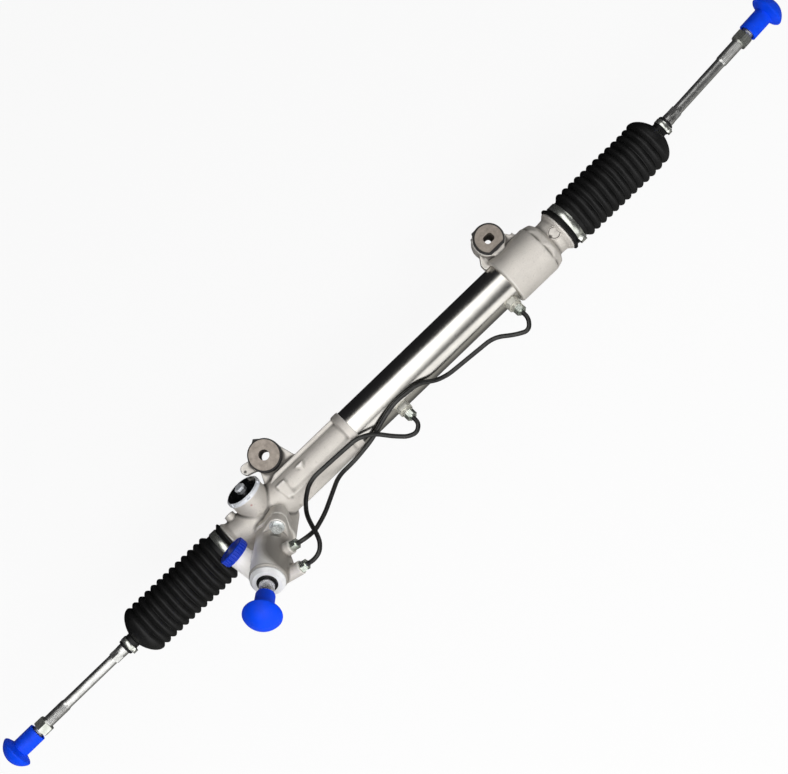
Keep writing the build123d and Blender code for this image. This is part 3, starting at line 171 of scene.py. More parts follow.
# ---------------------------------------------------------------- shader expressions
class Value:
    """A socket of a node tree. Arithmetic on it adds Math nodes."""

    def __init__(self, owner, socket):
        self.owner = owner
        self.socket = socket

    def _math(self, operation, *operands, clamp=False):
        settings = {"operation": operation, "use_clamp": clamp}
        inputs = dict(enumerate(operands))
        return self.owner.node("ShaderNodeMath", settings, inputs)

    def __add__(self, other):
        return self._math("ADD", self, other)

    __radd__ = __add__

    def __sub__(self, other):
        return self._math("SUBTRACT", self, other)

    def __rsub__(self, other):
        return self._math("SUBTRACT", other, self)

    def __mul__(self, other):
        return self._math("MULTIPLY", self, other)

    __rmul__ = __mul__

    def __truediv__(self, other):
        return self._math("DIVIDE", self, other)

    def __pow__(self, other):
        return self._math("POWER", self, other)

    def __gt__(self, other):
        return self._math("GREATER_THAN", self, other)

    def __lt__(self, other):
        return self._math("LESS_THAN", self, other)

    def sine(self):
        return self._math("SINE", self)

    def root(self):
        return self._math("SQRT", self)

    def size(self):
        return self._math("ABSOLUTE", self)

    def larger(self, other):
        return self._math("MAXIMUM", self, other)

    def clamped(self):
        return self._math("ADD", self, 0.0, clamp=True)

    def step(self, low, high):
        """0 below low, 1 above high, a straight ramp between."""
        return self._math("MULTIPLY", self - low, 1.0 / (high - low), clamp=True)

    def rings(self, pitch):
        """A wave between 0 and 1 that repeats at each pitch."""
        return (self / pitch * 2 * math.pi).sine() * 0.5 + 0.5


class NodeTree:
    """Nodes of a material or a world. Every node is made by one method, and all feed one shader."""

    def __init__(self, owner, shader):
        owner.use_nodes = True
        self.tree = owner.node_tree
        self.shader = self.tree.nodes[shader]

    def node(self, kind, settings, inputs, output=0):
        """A node of that type: settings are set first, then its sockets' values or links."""
        made = self.tree.nodes.new(kind)
        for key, value in settings.items():
            setattr(made, key, value)
        for key, value in inputs.items():
            if isinstance(value, Value):
                self.tree.links.new(value.socket, made.inputs[key])
            else:
                made.inputs[key].default_value = value
        return Value(self, made.outputs[output])

    def set(self, **links):
        """Feeds sockets of the shader."""
        for socket, value in links.items():
            self.tree.links.new(value.socket, self.shader.inputs[socket.replace("_", " ")])

    def ray(self, kind):
        """1 for rays of that kind, 0 for the others."""
        return self.node("ShaderNodeLightPath", {}, {}, kind)

    def mix(self, factor, first, second):
        """Colour between two colours."""
        inputs = {"Factor": factor, 6: first, 7: second}
        return self.node("ShaderNodeMix", {"data_type": "RGBA"}, inputs, 2)


class Finish(NodeTree):
    """A material under construction. Keyword arguments are constants of its shader."""

    def __init__(self, name, **constants):
        self.material = bpy.data.materials.new(name)
        super().__init__(self.material, "Principled BSDF")
        self.object_point = self.node("ShaderNodeTexCoord", {}, {}, "Object")
        for socket, value in constants.items():
            self.shader.inputs[socket.replace("_", " ")].default_value = value

    def fed(self, socket):
        """The value that already feeds a socket of the shader."""
        return Value(self, self.shader.inputs[socket].links[0].from_socket)

    def noise(self, size_mm, detail=3.0, stretch=(1, 1, 1), roughness=0.5):
        """Cloudy noise, 0 to 1, whose lumps are about size_mm across."""
        point = self.node(
            "ShaderNodeVectorMath", {"operation": "MULTIPLY"},
            {0: self.object_point, 1: tuple(1.0 / s for s in stretch)},
        )
        scale = 1.0 / (size_mm * MM)
        inputs = {"Vector": point, "Scale": scale, "Detail": detail, "Roughness": roughness}
        return self.node("ShaderNodeTexNoise", {}, inputs)

    def attribute(self, name):
        """A number stored on the mesh; 0 where a mesh has none."""
        return self.node("ShaderNodeAttribute", {"attribute_name": name}, {}, "Fac")

    def parts(self):
        """X, Y and Z of the object point, in metres."""
        made = self.node("ShaderNodeSeparateXYZ", {}, {0: self.object_point}).socket.node
        return [Value(self, socket) for socket in made.outputs]

    def along(self, origin, axis):
        """Distance along an axis from a point, in metres."""
        offset = self.node(
            "ShaderNodeVectorMath", {"operation": "SUBTRACT"},
            {0: self.object_point, 1: tuple(origin)},
        )
        return self.node(
            "ShaderNodeVectorMath", {"operation": "DOT_PRODUCT"},
            {0: offset, 1: tuple(axis)}, "Value",
        )

    def distance(self, point):
        """Distance from a point, in metres."""
        return self.node(
            "ShaderNodeVectorMath", {"operation": "DISTANCE"},
            {0: self.object_point, 1: tuple(point)}, "Value",
        )

    def radius(self, origin, axis):
        """Distance from an axis line, in metres."""
        away, along = self.distance(origin), self.along(origin, axis)
        return (away * away - along * along).larger(0.0).root()

    def bump(self, height, depth_mm):
        """Bump that feeds Normal; a height of 1 stands depth_mm proud."""
        inputs = {"Height": height, "Distance": depth_mm * MM, "Strength": 1.0}
        return self.node("ShaderNodeBump", {}, inputs)


def rgb(red, green, blue):
    """Opaque colour."""
    return (red, green, blue, 1.0)


def shaded(colour, factor):
    """Colour made darker or lighter."""
    return rgb(*(channel * factor for channel in colour[:3]))


# ---------------------------------------------------------------- finishes
# heights on the guide run along its axis from the rack, those of the valve's painted shade along
# the pinion's axis
GUIDE_BOSS_MACHINED = 35.8 * MM
GUIDE_BOSS_RADIUS = 22.2 * MM
GUIDE_HEXAGON_HEIGHT = 43.9 * MM
GUIDE_HEXAGON_RADIUS = 6.6 * MM
# radii of the painted reflection round the guide nut's rim
GUIDE_NUT_RIM_REFLECTION = (20.4 * MM, 21.0 * MM)
RED_DAB = np.array([-49.9, -33.1, 33.4]) * MM
RED_DAB_RADIUS = 1.7 * MM
# centre and edge of the painted shade of the lug's dimple
LUG_DIMPLE = np.array([-29.7, 2.5, 6.0]) * MM
LUG_DIMPLE_EDGE = (1.2 * MM, 2.2 * MM)
LEFT_BUSH = (0, 0, 0)
FLASHED_RADIUS = 24.0 * MM
FLASHED_HEIGHT = 9.6 * MM
BUSH_HALF_SPACING = 180 * MM
# the painted shade and painted light on the valve housing: where the shade starts and stops, where
# its edge lies beside the axis, how far the edge swings over between two heights, and how it fades
VALVE_SHADE_FOOT = (47 * MM, 58 * MM)
VALVE_SHADE_TOP = (103 * MM, 107 * MM)
VALVE_SHADE_RIM = (103.5 * MM, 105 * MM)
VALVE_SHADE_SIDE = 9 * MM
VALVE_SHADE_SWING = 20 * MM
VALVE_SHADE_SWING_HEIGHTS = (62 * MM, 104 * MM)
VALVE_SHADE_FADE = (-1 * MM, 5 * MM)
VALVE_LIGHT_FADE = (-7 * MM, 1 * MM)
VALVE_SHADE_REACH = (22.5 * MM, 25 * MM)


def cast_aluminium(looks, name="cast_aluminium"):
    """Sand-grained cast aluminium: darker in pits, with painted shade in hollows, brighter on
    rubbed edges and at painted highlights.
    """
    finish = Finish(name, Metallic=0.5)
    base = (*looks.aluminium, 1.0)
    grain = finish.noise(0.9, 3.0, roughness=0.6)
    cloud = finish.noise(22.0, 4.0)
    pits = finish.noise(2.6, 2.0).step(0.62, 0.74)
    tint = finish.mix((cloud - 0.5) * 1.1 + 0.5, shaded(base, 0.80), shaded(base, 1.08))
    tint = finish.mix(grain.step(0.35, 0.75) * 0.35, tint, shaded(base, 0.66))
    tint = finish.mix(pits * 0.25, tint, rgb(0.30, 0.28, 0.25))
    shade_and_sheen = finish.attribute(SHADE_AND_SHEEN)
    # painted shade: darker where the surface is concave; below 0 brighter, on rubbed edges and as a
    # painted highlight
    tint = finish.mix(shade_and_sheen.step(0.06, 0.50) * 0.9, tint, rgb(0.10, 0.09, 0.08))
    tint = finish.mix((0.0 - shade_and_sheen).step(0.30, 0.75) * 0.5, tint, rgb(0.92, 0.90, 0.86))
    finish.set(
        Base_Color=tint,
        Roughness=(0.44 + 0.20 * grain + 0.10 * cloud).clamped(),
        Normal=finish.bump(grain + 0.8 * finish.noise(3.0, 2.0), 0.14),
    )
    return finish


def gear_casting(looks):
    """Cast aluminium with a machined guide boss, a dab of red paint, painted shade of a dimple in
    the thin lug and rubber flashed over the wall round the left bush."""
    finish = cast_aluminium(looks, "cast_aluminium_gear")
    height = finish.along(guide_origin, guide_axis)
    reach = finish.radius(guide_origin, guide_axis)
    machined = (height > GUIDE_BOSS_MACHINED) * (reach < GUIDE_BOSS_RADIUS)
    dab = finish.distance(RED_DAB) + finish.noise(2.0) * 0.8 * MM
    painted = dab < RED_DAB_RADIUS
    # painted shade: a near-black spot stands for the shade in a dimple of the lug
    dimple_shade = 1 - finish.distance(LUG_DIMPLE).step(*LUG_DIMPLE_EDGE)
    near_bush = finish.radius(LEFT_BUSH, UP) < FLASHED_RADIUS
    flashed = near_bush * (finish.parts()[2] > FLASHED_HEIGHT)
    rough = finish.fed("Roughness")
    tint = finish.mix(machined * 0.6, finish.fed("Base Color"), rgb(0.80, 0.79, 0.77))
    tint = finish.mix(painted * 0.5, tint, rgb(0.40, 0.05, 0.04))
    tint = finish.mix(dimple_shade * 0.9, tint, rgb(0.04, 0.035, 0.03))
    finish.set(
        Base_Color=finish.mix(flashed, tint, rgb(0.022, 0.021, 0.020)),
        Metallic=0.5 - 0.5 * flashed,
        Roughness=rough - machined * 0.18,
    )
    return finish


def valve_casting(looks):
    """Cast aluminium with painted shade on the port side, between the joint flange and the shaft
    end, and painted light on the other side. The shade's edge runs along the neck, then curves
    towards the ports near the top."""
    finish = cast_aluminium(looks, "cast_aluminium_valve")
    height = finish.along(pinion_origin, pinion_axis)
    aside = finish.along(pinion_origin, ring_frame(pinion_axis)[0]) + finish.noise(9.0) * 3 * MM
    barrel = 1 - finish.radius(pinion_origin, pinion_axis).step(*VALVE_SHADE_REACH)
    edge = height.step(*VALVE_SHADE_SWING_HEIGHTS) ** 3 * VALVE_SHADE_SWING - VALVE_SHADE_SIDE
    waist = height.step(*VALVE_SHADE_FOOT) * (1 - height.step(*VALVE_SHADE_TOP))
    top_shade = height.step(*VALVE_SHADE_RIM) * 0.7
    # painted shade on the port side of the waist and in a band at the top
    painted_shade = (waist * barrel * (aside - edge).step(*VALVE_SHADE_FADE)).larger(top_shade * barrel)
    painted_light = 1 - (aside - edge).step(*VALVE_LIGHT_FADE)
    # painted light: the other side of the waist made paler and less metallic
    tint = finish.mix(painted_light * waist, finish.fed("Base Color"), rgb(0.97, 0.95, 0.91))
    finish.set(
        Base_Color=finish.mix(painted_shade * 0.85, tint, rgb(0.28, 0.26, 0.235)),
        Metallic=0.5 - painted_light * waist * 0.4,
    )
    return finish


def polished_tube():
    """Ground and polished tube: fine rings around it and faint streaks along it."""
    finish = Finish("polished_tube", Metallic=1.0)
    rings = finish.noise(0.35, 2.0, stretch=(1, 60, 60))
    streaks = finish.noise(4.0, 3.0, stretch=(40, 1, 1))
    cloud = finish.noise(30.0, 3.0)
    tint = finish.mix(cloud.step(0.3, 0.7), rgb(0.60, 0.58, 0.54), rgb(0.70, 0.68, 0.63))
    tint = finish.mix(streaks.step(0.55, 0.8) * 0.25, tint, rgb(0.42, 0.40, 0.37))
    finish.set(
        Base_Color=tint,
        Roughness=0.17 + 0.07 * streaks + 0.05 * rings,
        Normal=finish.bump(rings, 0.004),
    )
    return finish


def plated_steel(name, light, dark, roughness=0.30, metallic=0.9, grain_mm=0.8):
    """Plated or turned steel with cloudy colour, small stains and light scratches."""
    finish = Finish(name, Metallic=metallic)
    cloud = finish.noise(7.0, 4.0)
    grain = finish.noise(grain_mm, 3.0)
    scratch = finish.noise(0.5, 2.0, stretch=(1, 1, 14)).step(0.60, 0.72)
    tint = finish.mix(cloud.step(0.32, 0.68), rgb(*dark), rgb(*light))
    tint = finish.mix(scratch * 0.25, tint, shaded(rgb(*light), 1.15))
    finish.set(
        Base_Color=tint,
        Roughness=(roughness - 0.06 + 0.14 * grain + 0.08 * scratch).clamped(),
        Normal=finish.bump(grain + 0.5 * scratch, 0.02),
    )
    return finish


def turned_steel(name, light, dark, axis, roughness=0.26):
    """Steel turned on a lathe: fine rings along its axis, counted from the pinion's origin."""
    finish = Finish(name, Metallic=1.0)
    rings = finish.along(pinion_origin, axis).rings(0.32 * MM)
    cloud = finish.noise(6.0, 3.0)
    finish.set(
        Base_Color=finish.mix(cloud.step(0.3, 0.7), rgb(*dark), rgb(*light)),
        Roughness=roughness + 0.10 * cloud + 0.05 * rings,
        Normal=finish.bump(rings, 0.006),
    )
    return finish


def moulded_rubber(name, colour, roughness=0.42):
    """Black rubber: moulding grain, a little dust and paler worn spots."""
    finish = Finish(name, Metallic=0.0, Specular_IOR_Level=0.25)
    grain = finish.noise(0.6, 3.0)
    cloud = finish.noise(14.0, 4.0)
    dust = finish.noise(1.6, 3.0, roughness=0.65).step(0.66, 0.80)
    base = rgb(*colour)
    tint = finish.mix(cloud.step(0.3, 0.75), base, shaded(base, 1.7))
    tint = finish.mix(dust * 0.18, tint, rgb(0.11, 0.11, 0.105))
    finish.set(
        Base_Color=tint,
        Roughness=(roughness - 0.08 + 0.14 * cloud + 0.08 * grain + 0.12 * dust).clamped(),
        Normal=finish.bump(grain, 0.035),
    )
    return finish


def moulded_plastic(name, colour, roughness, painted_highlight=0.5):
    """Moulded plastic: near even colour, soft sink marks and fine scuffs."""
    finish = Finish(name, Metallic=0.0, Specular_IOR_Level=painted_highlight)
    cloud = finish.noise(11.0, 3.0)
    grain = finish.noise(0.45, 2.0)
    scuff = finish.noise(0.7, 3.0, stretch=(1, 9, 1)).step(0.64, 0.74)
    base = rgb(*colour)
    tint = finish.mix(cloud.step(0.3, 0.7), shaded(base, 0.90), shaded(base, 1.06))
    tint = finish.mix(scuff * 0.10, tint, rgb(*(0.7 * c + 0.25 for c in colour)))
    finish.set(
        Base_Color=tint,
        Roughness=(roughness + 0.07 * cloud + 0.10 * scuff + 0.04 * grain).clamped(),
        Normal=finish.bump(grain + 3.0 * cloud, 0.02),
    )
    return finish


def coated_line():
    """Dark corrosion coating on the hydraulic lines, worn thin here and there."""
    finish = Finish("coated_line", Metallic=0.55)
    cloud = finish.noise(9.0, 4.0)
    speck = finish.noise(0.9, 3.0).step(0.60, 0.78)
    tint = finish.mix(cloud.step(0.3, 0.7), rgb(0.020, 0.020, 0.020), rgb(0.045, 0.045, 0.042))
    tint = finish.mix(speck * 0.22, tint, rgb(0.30, 0.29, 0.27))
    finish.set(
        Base_Color=tint,
        Roughness=(0.30 + 0.12 * cloud + 0.10 * speck).clamped(),
        Normal=finish.bump(finish.noise(0.7, 2.0), 0.02),
    )
    return finish


def bush_plate():
    """Brown-grey phosphated steel of the bush discs, turned in fine rings about each bush."""
    finish = Finish("bush_plate", Metallic=0.65)
    x, y, _ = finish.parts()
    near = (x - BUSH_HALF_SPACING).size() - BUSH_HALF_SPACING
    rings = (near * near + y * y).root().rings(0.9 * MM)
    cloud = finish.noise(5.0, 4.0)
    tint = finish.mix(cloud.step(0.3, 0.7), rgb(0.20, 0.17, 0.145), rgb(0.33, 0.29, 0.25))
    tint = finish.mix(rings * 0.18, tint, rgb(0.46, 0.42, 0.37))
    finish.set(
        Base_Color=tint,
        Roughness=(0.42 + 0.14 * cloud).clamped(),
        Normal=finish.bump(rings + cloud, 0.03),
    )
    return finish


def black_chrome():
    """Black chrome on the guide cap and its nut, with a bright metal hexagon and a painted
    reflection round the nut's rim.
    """
    finish = Finish("black_chrome", Coat_Weight=0.4)
    height = finish.along(guide_origin, guide_axis)
    reach = finish.radius(guide_origin, guide_axis)
    hexagon = (height > GUIDE_HEXAGON_HEIGHT) * (reach < GUIDE_HEXAGON_RADIUS)
    # bright metal on the hexagon; a painted reflection on the nut's rim
    bright_hexagon_and_rim = hexagon.larger(reach.step(*GUIDE_NUT_RIM_REFLECTION))
    cloud = finish.noise(6.0, 3.0)
    dark = finish.mix(cloud.step(0.3, 0.7), rgb(0.016, 0.016, 0.017), rgb(0.035, 0.035, 0.037))
    finish.set(
        Base_Color=finish.mix(bright_hexagon_and_rim, dark, rgb(0.86, 0.88, 0.92)),
        Metallic=0.9 - 0.75 * bright_hexagon_and_rim,
        Roughness=0.14 + 0.06 * cloud + 0.25 * bright_hexagon_and_rim,
        Normal=finish.bump(finish.noise(1.2, 2.0), 0.01),
    )
    return finish


def all_finishes(looks):
    """Each finish with the CAD nodes that carry it."""
    zinc = plated_steel("zinc_plate", (0.74, 0.75, 0.70), (0.54, 0.56, 0.50), 0.27)
    nuts = plated_steel("zinc_plate_yellowed", (0.86, 0.89, 0.82), (0.56, 0.62, 0.55), 0.22)
    blocks = plated_steel("port_steel", (0.78, 0.77, 0.69), (0.58, 0.57, 0.51), 0.34, 0.55)
    bolt = plated_steel("zinc_bolt", (0.86, 0.88, 0.87), (0.60, 0.64, 0.63), 0.26, 0.55)
    rods = plated_steel("forged_rod", (0.72, 0.72, 0.70), (0.50, 0.50, 0.48), 0.30, 0.95, 1.6)
    bright = plated_steel("bearing_steel", (0.78, 0.78, 0.77), (0.60, 0.60, 0.59), 0.18, 1.0)
    shaft = turned_steel("splined_shaft", (0.90, 0.90, 0.91), (0.66, 0.66, 0.68), pinion_axis, 0.20)
    bar = turned_steel("ground_bar", (0.66, 0.66, 0.66), (0.50, 0.50, 0.50), RACK_DIRECTION)
    inner = turned_steel("machined_steel", (0.62, 0.62, 0.60), (0.46, 0.46, 0.45), pinion_axis)
    blue = moulded_plastic("blue_plastic", looks.blue, 0.42, 0.12)
    plug = moulded_plastic("plug_plastic", shaded(looks.blue, 0.60)[:3], 0.34, 0.30)
    white = moulded_plastic("white_plastic", (0.88, 0.88, 0.87), 0.34)
    ivory = moulded_plastic("slide_plastic", (0.62, 0.58, 0.48), 0.40)
    rubber = moulded_rubber("bellows_rubber", looks.rubber)
    soft = moulded_rubber("bush_rubber", (0.022, 0.021, 0.020), 0.55)
    return {
        cast_aluminium(looks): ("end_housing", "rack_guide"),
        valve_casting(looks): ("valve_housing",),
        gear_casting(looks): ("gear_housing",),
        polished_tube(): ("cylinder_tube",),
        zinc: ("left_jam_nut", "right_jam_nut", "pinion_bottom_plug", "large_clamps",
               "left_small_clamp", "right_small_clamp"),
        nuts: ("flare_nuts",),
        bolt: ("valve_housing_bolts",),
        rods: ("left_tie_rod", "right_tie_rod", "left_ball_socket", "right_ball_socket"),
        bright: ("pinion_lower_bearing", "pinion_upper_bearing", "shaft_bearing", "guide_spring",
                 "end_retaining_ring", "left_socket_washer", "right_socket_washer"),
        blocks: ("port_bosses",),
        shaft: ("input_shaft",),
        bar: ("rack_bar", "piston", "inner_seal_sleeve"),
        inner: ("pinion", "valve_sleeve", "torsion_bar"),
        black_chrome(): ("guide_cap", "guide_lock_nut"),
        bush_plate(): ("left_bush_sleeve", "right_bush_sleeve"),
        coated_line(): ("long_hydraulic_line", "short_hydraulic_line"),
        blue: ("left_rod_cap", "right_rod_cap", "pinion_cap"),
        plug: ("port_plug",),
        white: ("dust_cover",),
        ivory: ("guide_liner", "piston_ring", "sleeve_rings", "end_rack_bushing", "left_ball_seat",
                "right_ball_seat"),
        rubber: ("left_bellows", "right_bellows", "shaft_seal", "dust_lip_seal", "inner_rack_seal",
                 "end_rack_seal"),
        soft: ("left_bush_rubber", "right_bush_rubber"),
    }


def dress(piece, material):
    """Gives a piece one material all over."""
    if piece.data.materials:
        for index in range(len(piece.data.materials)):
            piece.data.materials[index] = material
    else:
        piece.data.materials.append(material)


def finish_of(node):
    """The material that a CAD node carries."""
    return nodes[node].data.materials[0]


# ---------------------------------------------------------------- user settings
class RackLooks(bpy.types.PropertyGroup):
    """Colours and sizes that a user may set before the operators run"""

    aluminium: bpy.props.FloatVectorProperty(
        name="Casting Colour", description="Colour of the cast housings",
        subtype="COLOR", default=(0.75, 0.71, 0.655), min=0, max=1)
    blue: bpy.props.FloatVectorProperty(
        name="Cap Colour", description="Colour of the protective caps and the port plug",
        subtype="COLOR", default=(0.0, 0.066, 0.90), min=0, max=1)
    rubber: bpy.props.FloatVectorProperty(
        name="Rubber Colour", description="Colour of the bellows",
        subtype="COLOR", default=(0.006, 0.006, 0.006), min=0, max=1)
    casting_voxel: bpy.props.FloatProperty(
        name="Casting Rounding", description="Voxel size that rounds the edges of the castings",
        default=1.0 * MM, min=0.5 * MM, max=3 * MM, unit="LENGTH")
    fold_depth: bpy.props.FloatProperty(
        name="Fold Depth", description="Height of a bellows fold above its valley",
        default=4.0 * MM, min=1 * MM, max=10 * MM, unit="LENGTH")
    bellows_wall: bpy.props.FloatProperty(
        name="Bellows Wall", description="Thickness of the bellows rubber",
        default=1.5 * MM, min=0.5 * MM, max=3 * MM, unit="LENGTH")
    thread_pitch: bpy.props.FloatProperty(
        name="Thread Pitch", description="Pitch of the tie-rod threads",
        default=1.5 * MM, min=0.5 * MM, max=3 * MM, unit="LENGTH")
    floor: bpy.props.FloatVectorProperty(
        name="Floor Colour", description="Colour of the floor under the part",
        subtype="COLOR", default=(0.86, 0.86, 0.86), min=0, max=1)


class RACK_OT_finishes(bpy.types.Operator):
    """Gives every CAD node its finish"""

    bl_idname = "rack.finishes"
    bl_label = "Finishes"

    def execute(self, context):
        for finish, carriers in all_finishes(context.scene.rack_looks).items():
            for node in carriers:
                dress(nodes[node], finish.material)
        return {"FINISHED"}


# ---------------------------------------------------------------- castings
# each casting, and how much coarser than the setting its grid is
CASTINGS = (("gear_housing", 1.12), ("valve_housing", 1.0), ("end_housing", 1.0))
CORNER_ROUNDS = 3
# how far and how widely concavity is measured for the castings' painted shade
SHADE_REACH = 1.2 * MM
SHADE_SPREAD = 12


def rounded_copy(node, voxel, rounds):
    """Copy of a casting with its sharp corners rounded: remeshed on a fine grid, then relaxed."""
    mesh = nodes[node].data.copy()
    merge_points(mesh)
    source = bpy.data.objects.new(f"{node}_source", mesh)
    bpy.context.scene.collection.objects.link(source)
    remesh = source.modifiers.new("grid", "REMESH")
    remesh.mode = "VOXEL"
    remesh.voxel_size = voxel
    relax = source.modifiers.new("relax", "SMOOTH")
    relax.factor = 0.5
    relax.iterations = rounds
    graph = bpy.context.evaluated_depsgraph_get()
    rounded = bpy.data.meshes.new_from_object(source.evaluated_get(graph))
    bpy.data.objects.remove(source)
    return rounded


def mark_shade_and_sheen(mesh, reach, spread):
    """Stores, for the painted shade and brightening of the castings, how concave the surface is at
    each vertex: the share of reach by which the mean of its neighbours lies above it along the
    normal, averaged over spread rings of neighbours."""
    count = len(mesh.vertices)
    points = np.empty(count * 3)
    normals = np.empty(count * 3)
    ends = np.empty(len(mesh.edges) * 2, int)
    mesh.vertices.foreach_get("co", points)
    mesh.vertices.foreach_get("normal", normals)
    mesh.edges.foreach_get("vertices", ends)
    points, normals, ends = points.reshape(-1, 3), normals.reshape(-1, 3), ends.reshape(-1, 2)
    links = np.bincount(ends.ravel(), minlength=count).clip(1)

    def neighbours(values):
        total = np.bincount(ends[:, 0], values[ends[:, 1]], count)
        return (total + np.bincount(ends[:, 1], values[ends[:, 0]], count)) / links

    mean = points
    for _ in range(spread):
        mean = np.stack([neighbours(mean[:, axis]) for axis in range(3)], axis=1)
    # concave above 0, where the finish paints shade; convex below 0, where it paints rubbed edges
    # brighter
    shade_and_sheen = np.clip(((mean - points) * normals).sum(axis=1) / reach, -1, 1)
    for _ in range(2):
        shade_and_sheen = neighbours(shade_and_sheen)
    store_shade_and_sheen(mesh, shade_and_sheen)


class RACK_OT_castings(bpy.types.Operator):
    """Castings with rounded corners in place of the sharp CAD ones"""

    bl_idname = "rack.castings"
    bl_label = "Castings"

    def execute(self, context):
        looks = context.scene.rack_looks
        for node, coarser in CASTINGS:
            mesh = rounded_copy(node, looks.casting_voxel * coarser, CORNER_ROUNDS)
            piece = mesh_object(f"{node}_casting", mesh, sharp_angle=60.0)
            mark_shade_and_sheen(mesh, SHADE_REACH, SHADE_SPREAD)
            dress(piece, finish_of(node))
            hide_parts(node)
            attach(piece, "housing")
        return {"FINISHED"}


# ---------------------------------------------------------------- bellows
# distances along are measured from the centre of the ball joint, outwards
FOLD_COUNT = 13
FOLD_PITCH = 9.8 * MM
FIRST_FOLD = -93.7 * MM
LAST_FOLD = FIRST_FOLD + (FOLD_COUNT - 1) * FOLD_PITCH
CREST = 31.0 * MM
VALLEY_ROUNDING = 0.012
BIG_CUFF = (-120.2 * MM, -99.0 * MM)
BIG_CUFF_RADIUS = 26.0 * MM
LIP_RADIUS = 29.6 * MM
CLAMP_MIDDLE = -108.0 * MM
BAND_SHIFT = 0.9 * MM
SMALL_CUFF = (42.0 * MM, 57.0 * MM)
SMALL_CUFF_RADIUS = 9.3 * MM
FOLDS_END = 8 * MM
TURN_END = 22 * MM
SHOULDER_END = 38 * MM
BEND_LENGTH = 26 * MM
BELLOWS_STEP = 0.55 * MM
# each stretch of the bellows: from, to, the body at its start and the body at its end; a stretch
# # rides a body only where the two are the same
STRETCHES = (
    ("collar", BIG_CUFF[0], CLAMP_MIDDLE, "housing", "housing"),
    ("sleeve", CLAMP_MIDDLE, FOLDS_END, "housing", "rack"),
    ("turn", FOLDS_END, TURN_END, "rack", "seat"),
    ("shoulder", TURN_END, SHOULDER_END, "seat", "tie_rod"),
    ("cuff", SHOULDER_END, SMALL_CUFF[1], "tie_rod", "tie_rod"),
)


def bellows_radius(along, fold_depth):
    """Outer radius along the bellows. Folds are valley + depth*sqrt(cos(pi*along/pitch)^2), rounded
    a little in the valleys, so that crests are round and valleys tight. The closed end falls from
    the crest to the small cuff as (1 - share^1.9)^0.8, a flattened quarter ellipse. A bell curve
    makes the small cuff's bead, and a ramp the big cuff's lip."""
    valley = CREST - fold_depth
    wave = np.cos(math.pi * (along - FIRST_FOLD) / FOLD_PITCH) ** 2
    folds = valley + fold_depth * np.sqrt((wave + VALLEY_ROUNDING) / (1 + VALLEY_ROUNDING))
    past = (along - BIG_CUFF[0]) / MM
    lip = np.clip((6.0 - past) / 3.8, 0, 1) ** 1.3 * np.clip((past + 1.0) / 1.4, 0.6, 1)
    cuff = BIG_CUFF_RADIUS + (LIP_RADIUS - BIG_CUFF_RADIUS) * lip
    share = np.clip((along - LAST_FOLD) / (SMALL_CUFF[0] - LAST_FOLD), 0, 1)
    before_end = (along - SMALL_CUFF[1] + 1.5 * MM) / (0.8 * MM)
    tip = SMALL_CUFF_RADIUS + 0.7 * MM * np.exp(-(before_end**2))
    dome = tip + (CREST - tip) * (1 - share**1.9) ** 0.8
    radius = np.where(along < BIG_CUFF[1], cuff, folds)
    return np.where(along > LAST_FOLD, dome, radius)


def bent(side, points, along):
    """Turns points about the ball joint, from the rack's line to the tie rod's as along grows. The
    share of the turn is the smooth step 3*share^2 - 2*share^3 over BEND_LENGTH."""
    centre, axis = ball_of(side), rod_axis(side)
    tilt = math.atan2(axis[1], abs(axis[0])) * np.sign(axis[0])
    share = np.clip(along / BEND_LENGTH, 0, 1)
    angle = tilt * share * share * (3 - 2 * share)
    offset = points - centre
    x = offset[..., 0] * np.cos(angle) - offset[..., 1] * np.sin(angle)
    y = offset[..., 0] * np.sin(angle) + offset[..., 1] * np.cos(angle)
    return centre + np.stack([x, y, offset[..., 2]], axis=-1)


class RACK_OT_bellows(bpy.types.Operator):
    """Rubber bellows bent from the rack's line towards the tie rod; the collar rides the housing
    and the cuff the tie rod
    """

    bl_idname = "rack.bellows"
    bl_label = "Bellows"

    def execute(self, context):
        """bellows_radius turned about the rack's line, out along it and back one wall inside, in
        one closed ring for each stretch; then bent towards the tie rod."""
        looks = context.scene.rack_looks
        angles = full_turn(112)
        for side in SIDES:
            centre, axis = ball_of(side), end_axis(side)
            for label, low, high, first, second in STRETCHES:
                steps = max(8, round((high - low) / BELLOWS_STEP))
                outside = np.linspace(low, high, steps)
                radius = bellows_radius(outside, looks.fold_depth)
                along = np.concatenate([outside, outside[::-1]])
                wall = np.concatenate([radius, radius[::-1] - looks.bellows_wall])
                points = turned(along, wall, angles, centre, axis)
                piece = grid_object(f"{side}_bellows_{label}", bent(side, points, along[None, :]))
                dress(piece, finish_of(f"{side}_bellows"))
                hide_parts(f"{side}_bellows")
                names = [
                    body if body in ("housing", "rack") else f"{side}_{body}"
                    for body in (first, second)
                ]
                if first == second:
                    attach(piece, names[0])
                else:
                    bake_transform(piece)
        return {"FINISHED"}


# ---------------------------------------------------------------- clamps and threads
# band clamps: width, thickness, height of the crimped ear and half its angle in radians
LARGE_BAND = (9.4 * MM, 1.1 * MM, 4.2 * MM, 0.17)
SMALL_BAND = (6.4 * MM, 0.9 * MM, 2.6 * MM, 0.34)
LARGE_BAND_RADIUS = BIG_CUFF_RADIUS + 0.05 * MM
SMALL_BAND_RADIUS = SMALL_CUFF_RADIUS + 0.1 * MM
SMALL_BAND_PLACE = 50.5 * MM
EAR_TOWARDS = np.array([0.0, -0.94, 0.342])
# bare threads on each side of the jam nut, from and to along the tie rod
THREADS = (("inner", 152.0 * MM, 181.6 * MM), ("outer", 194.4 * MM, 203.0 * MM))
THREAD_ROOT = 6.75 * MM
THREAD_CREST = 7.25 * MM


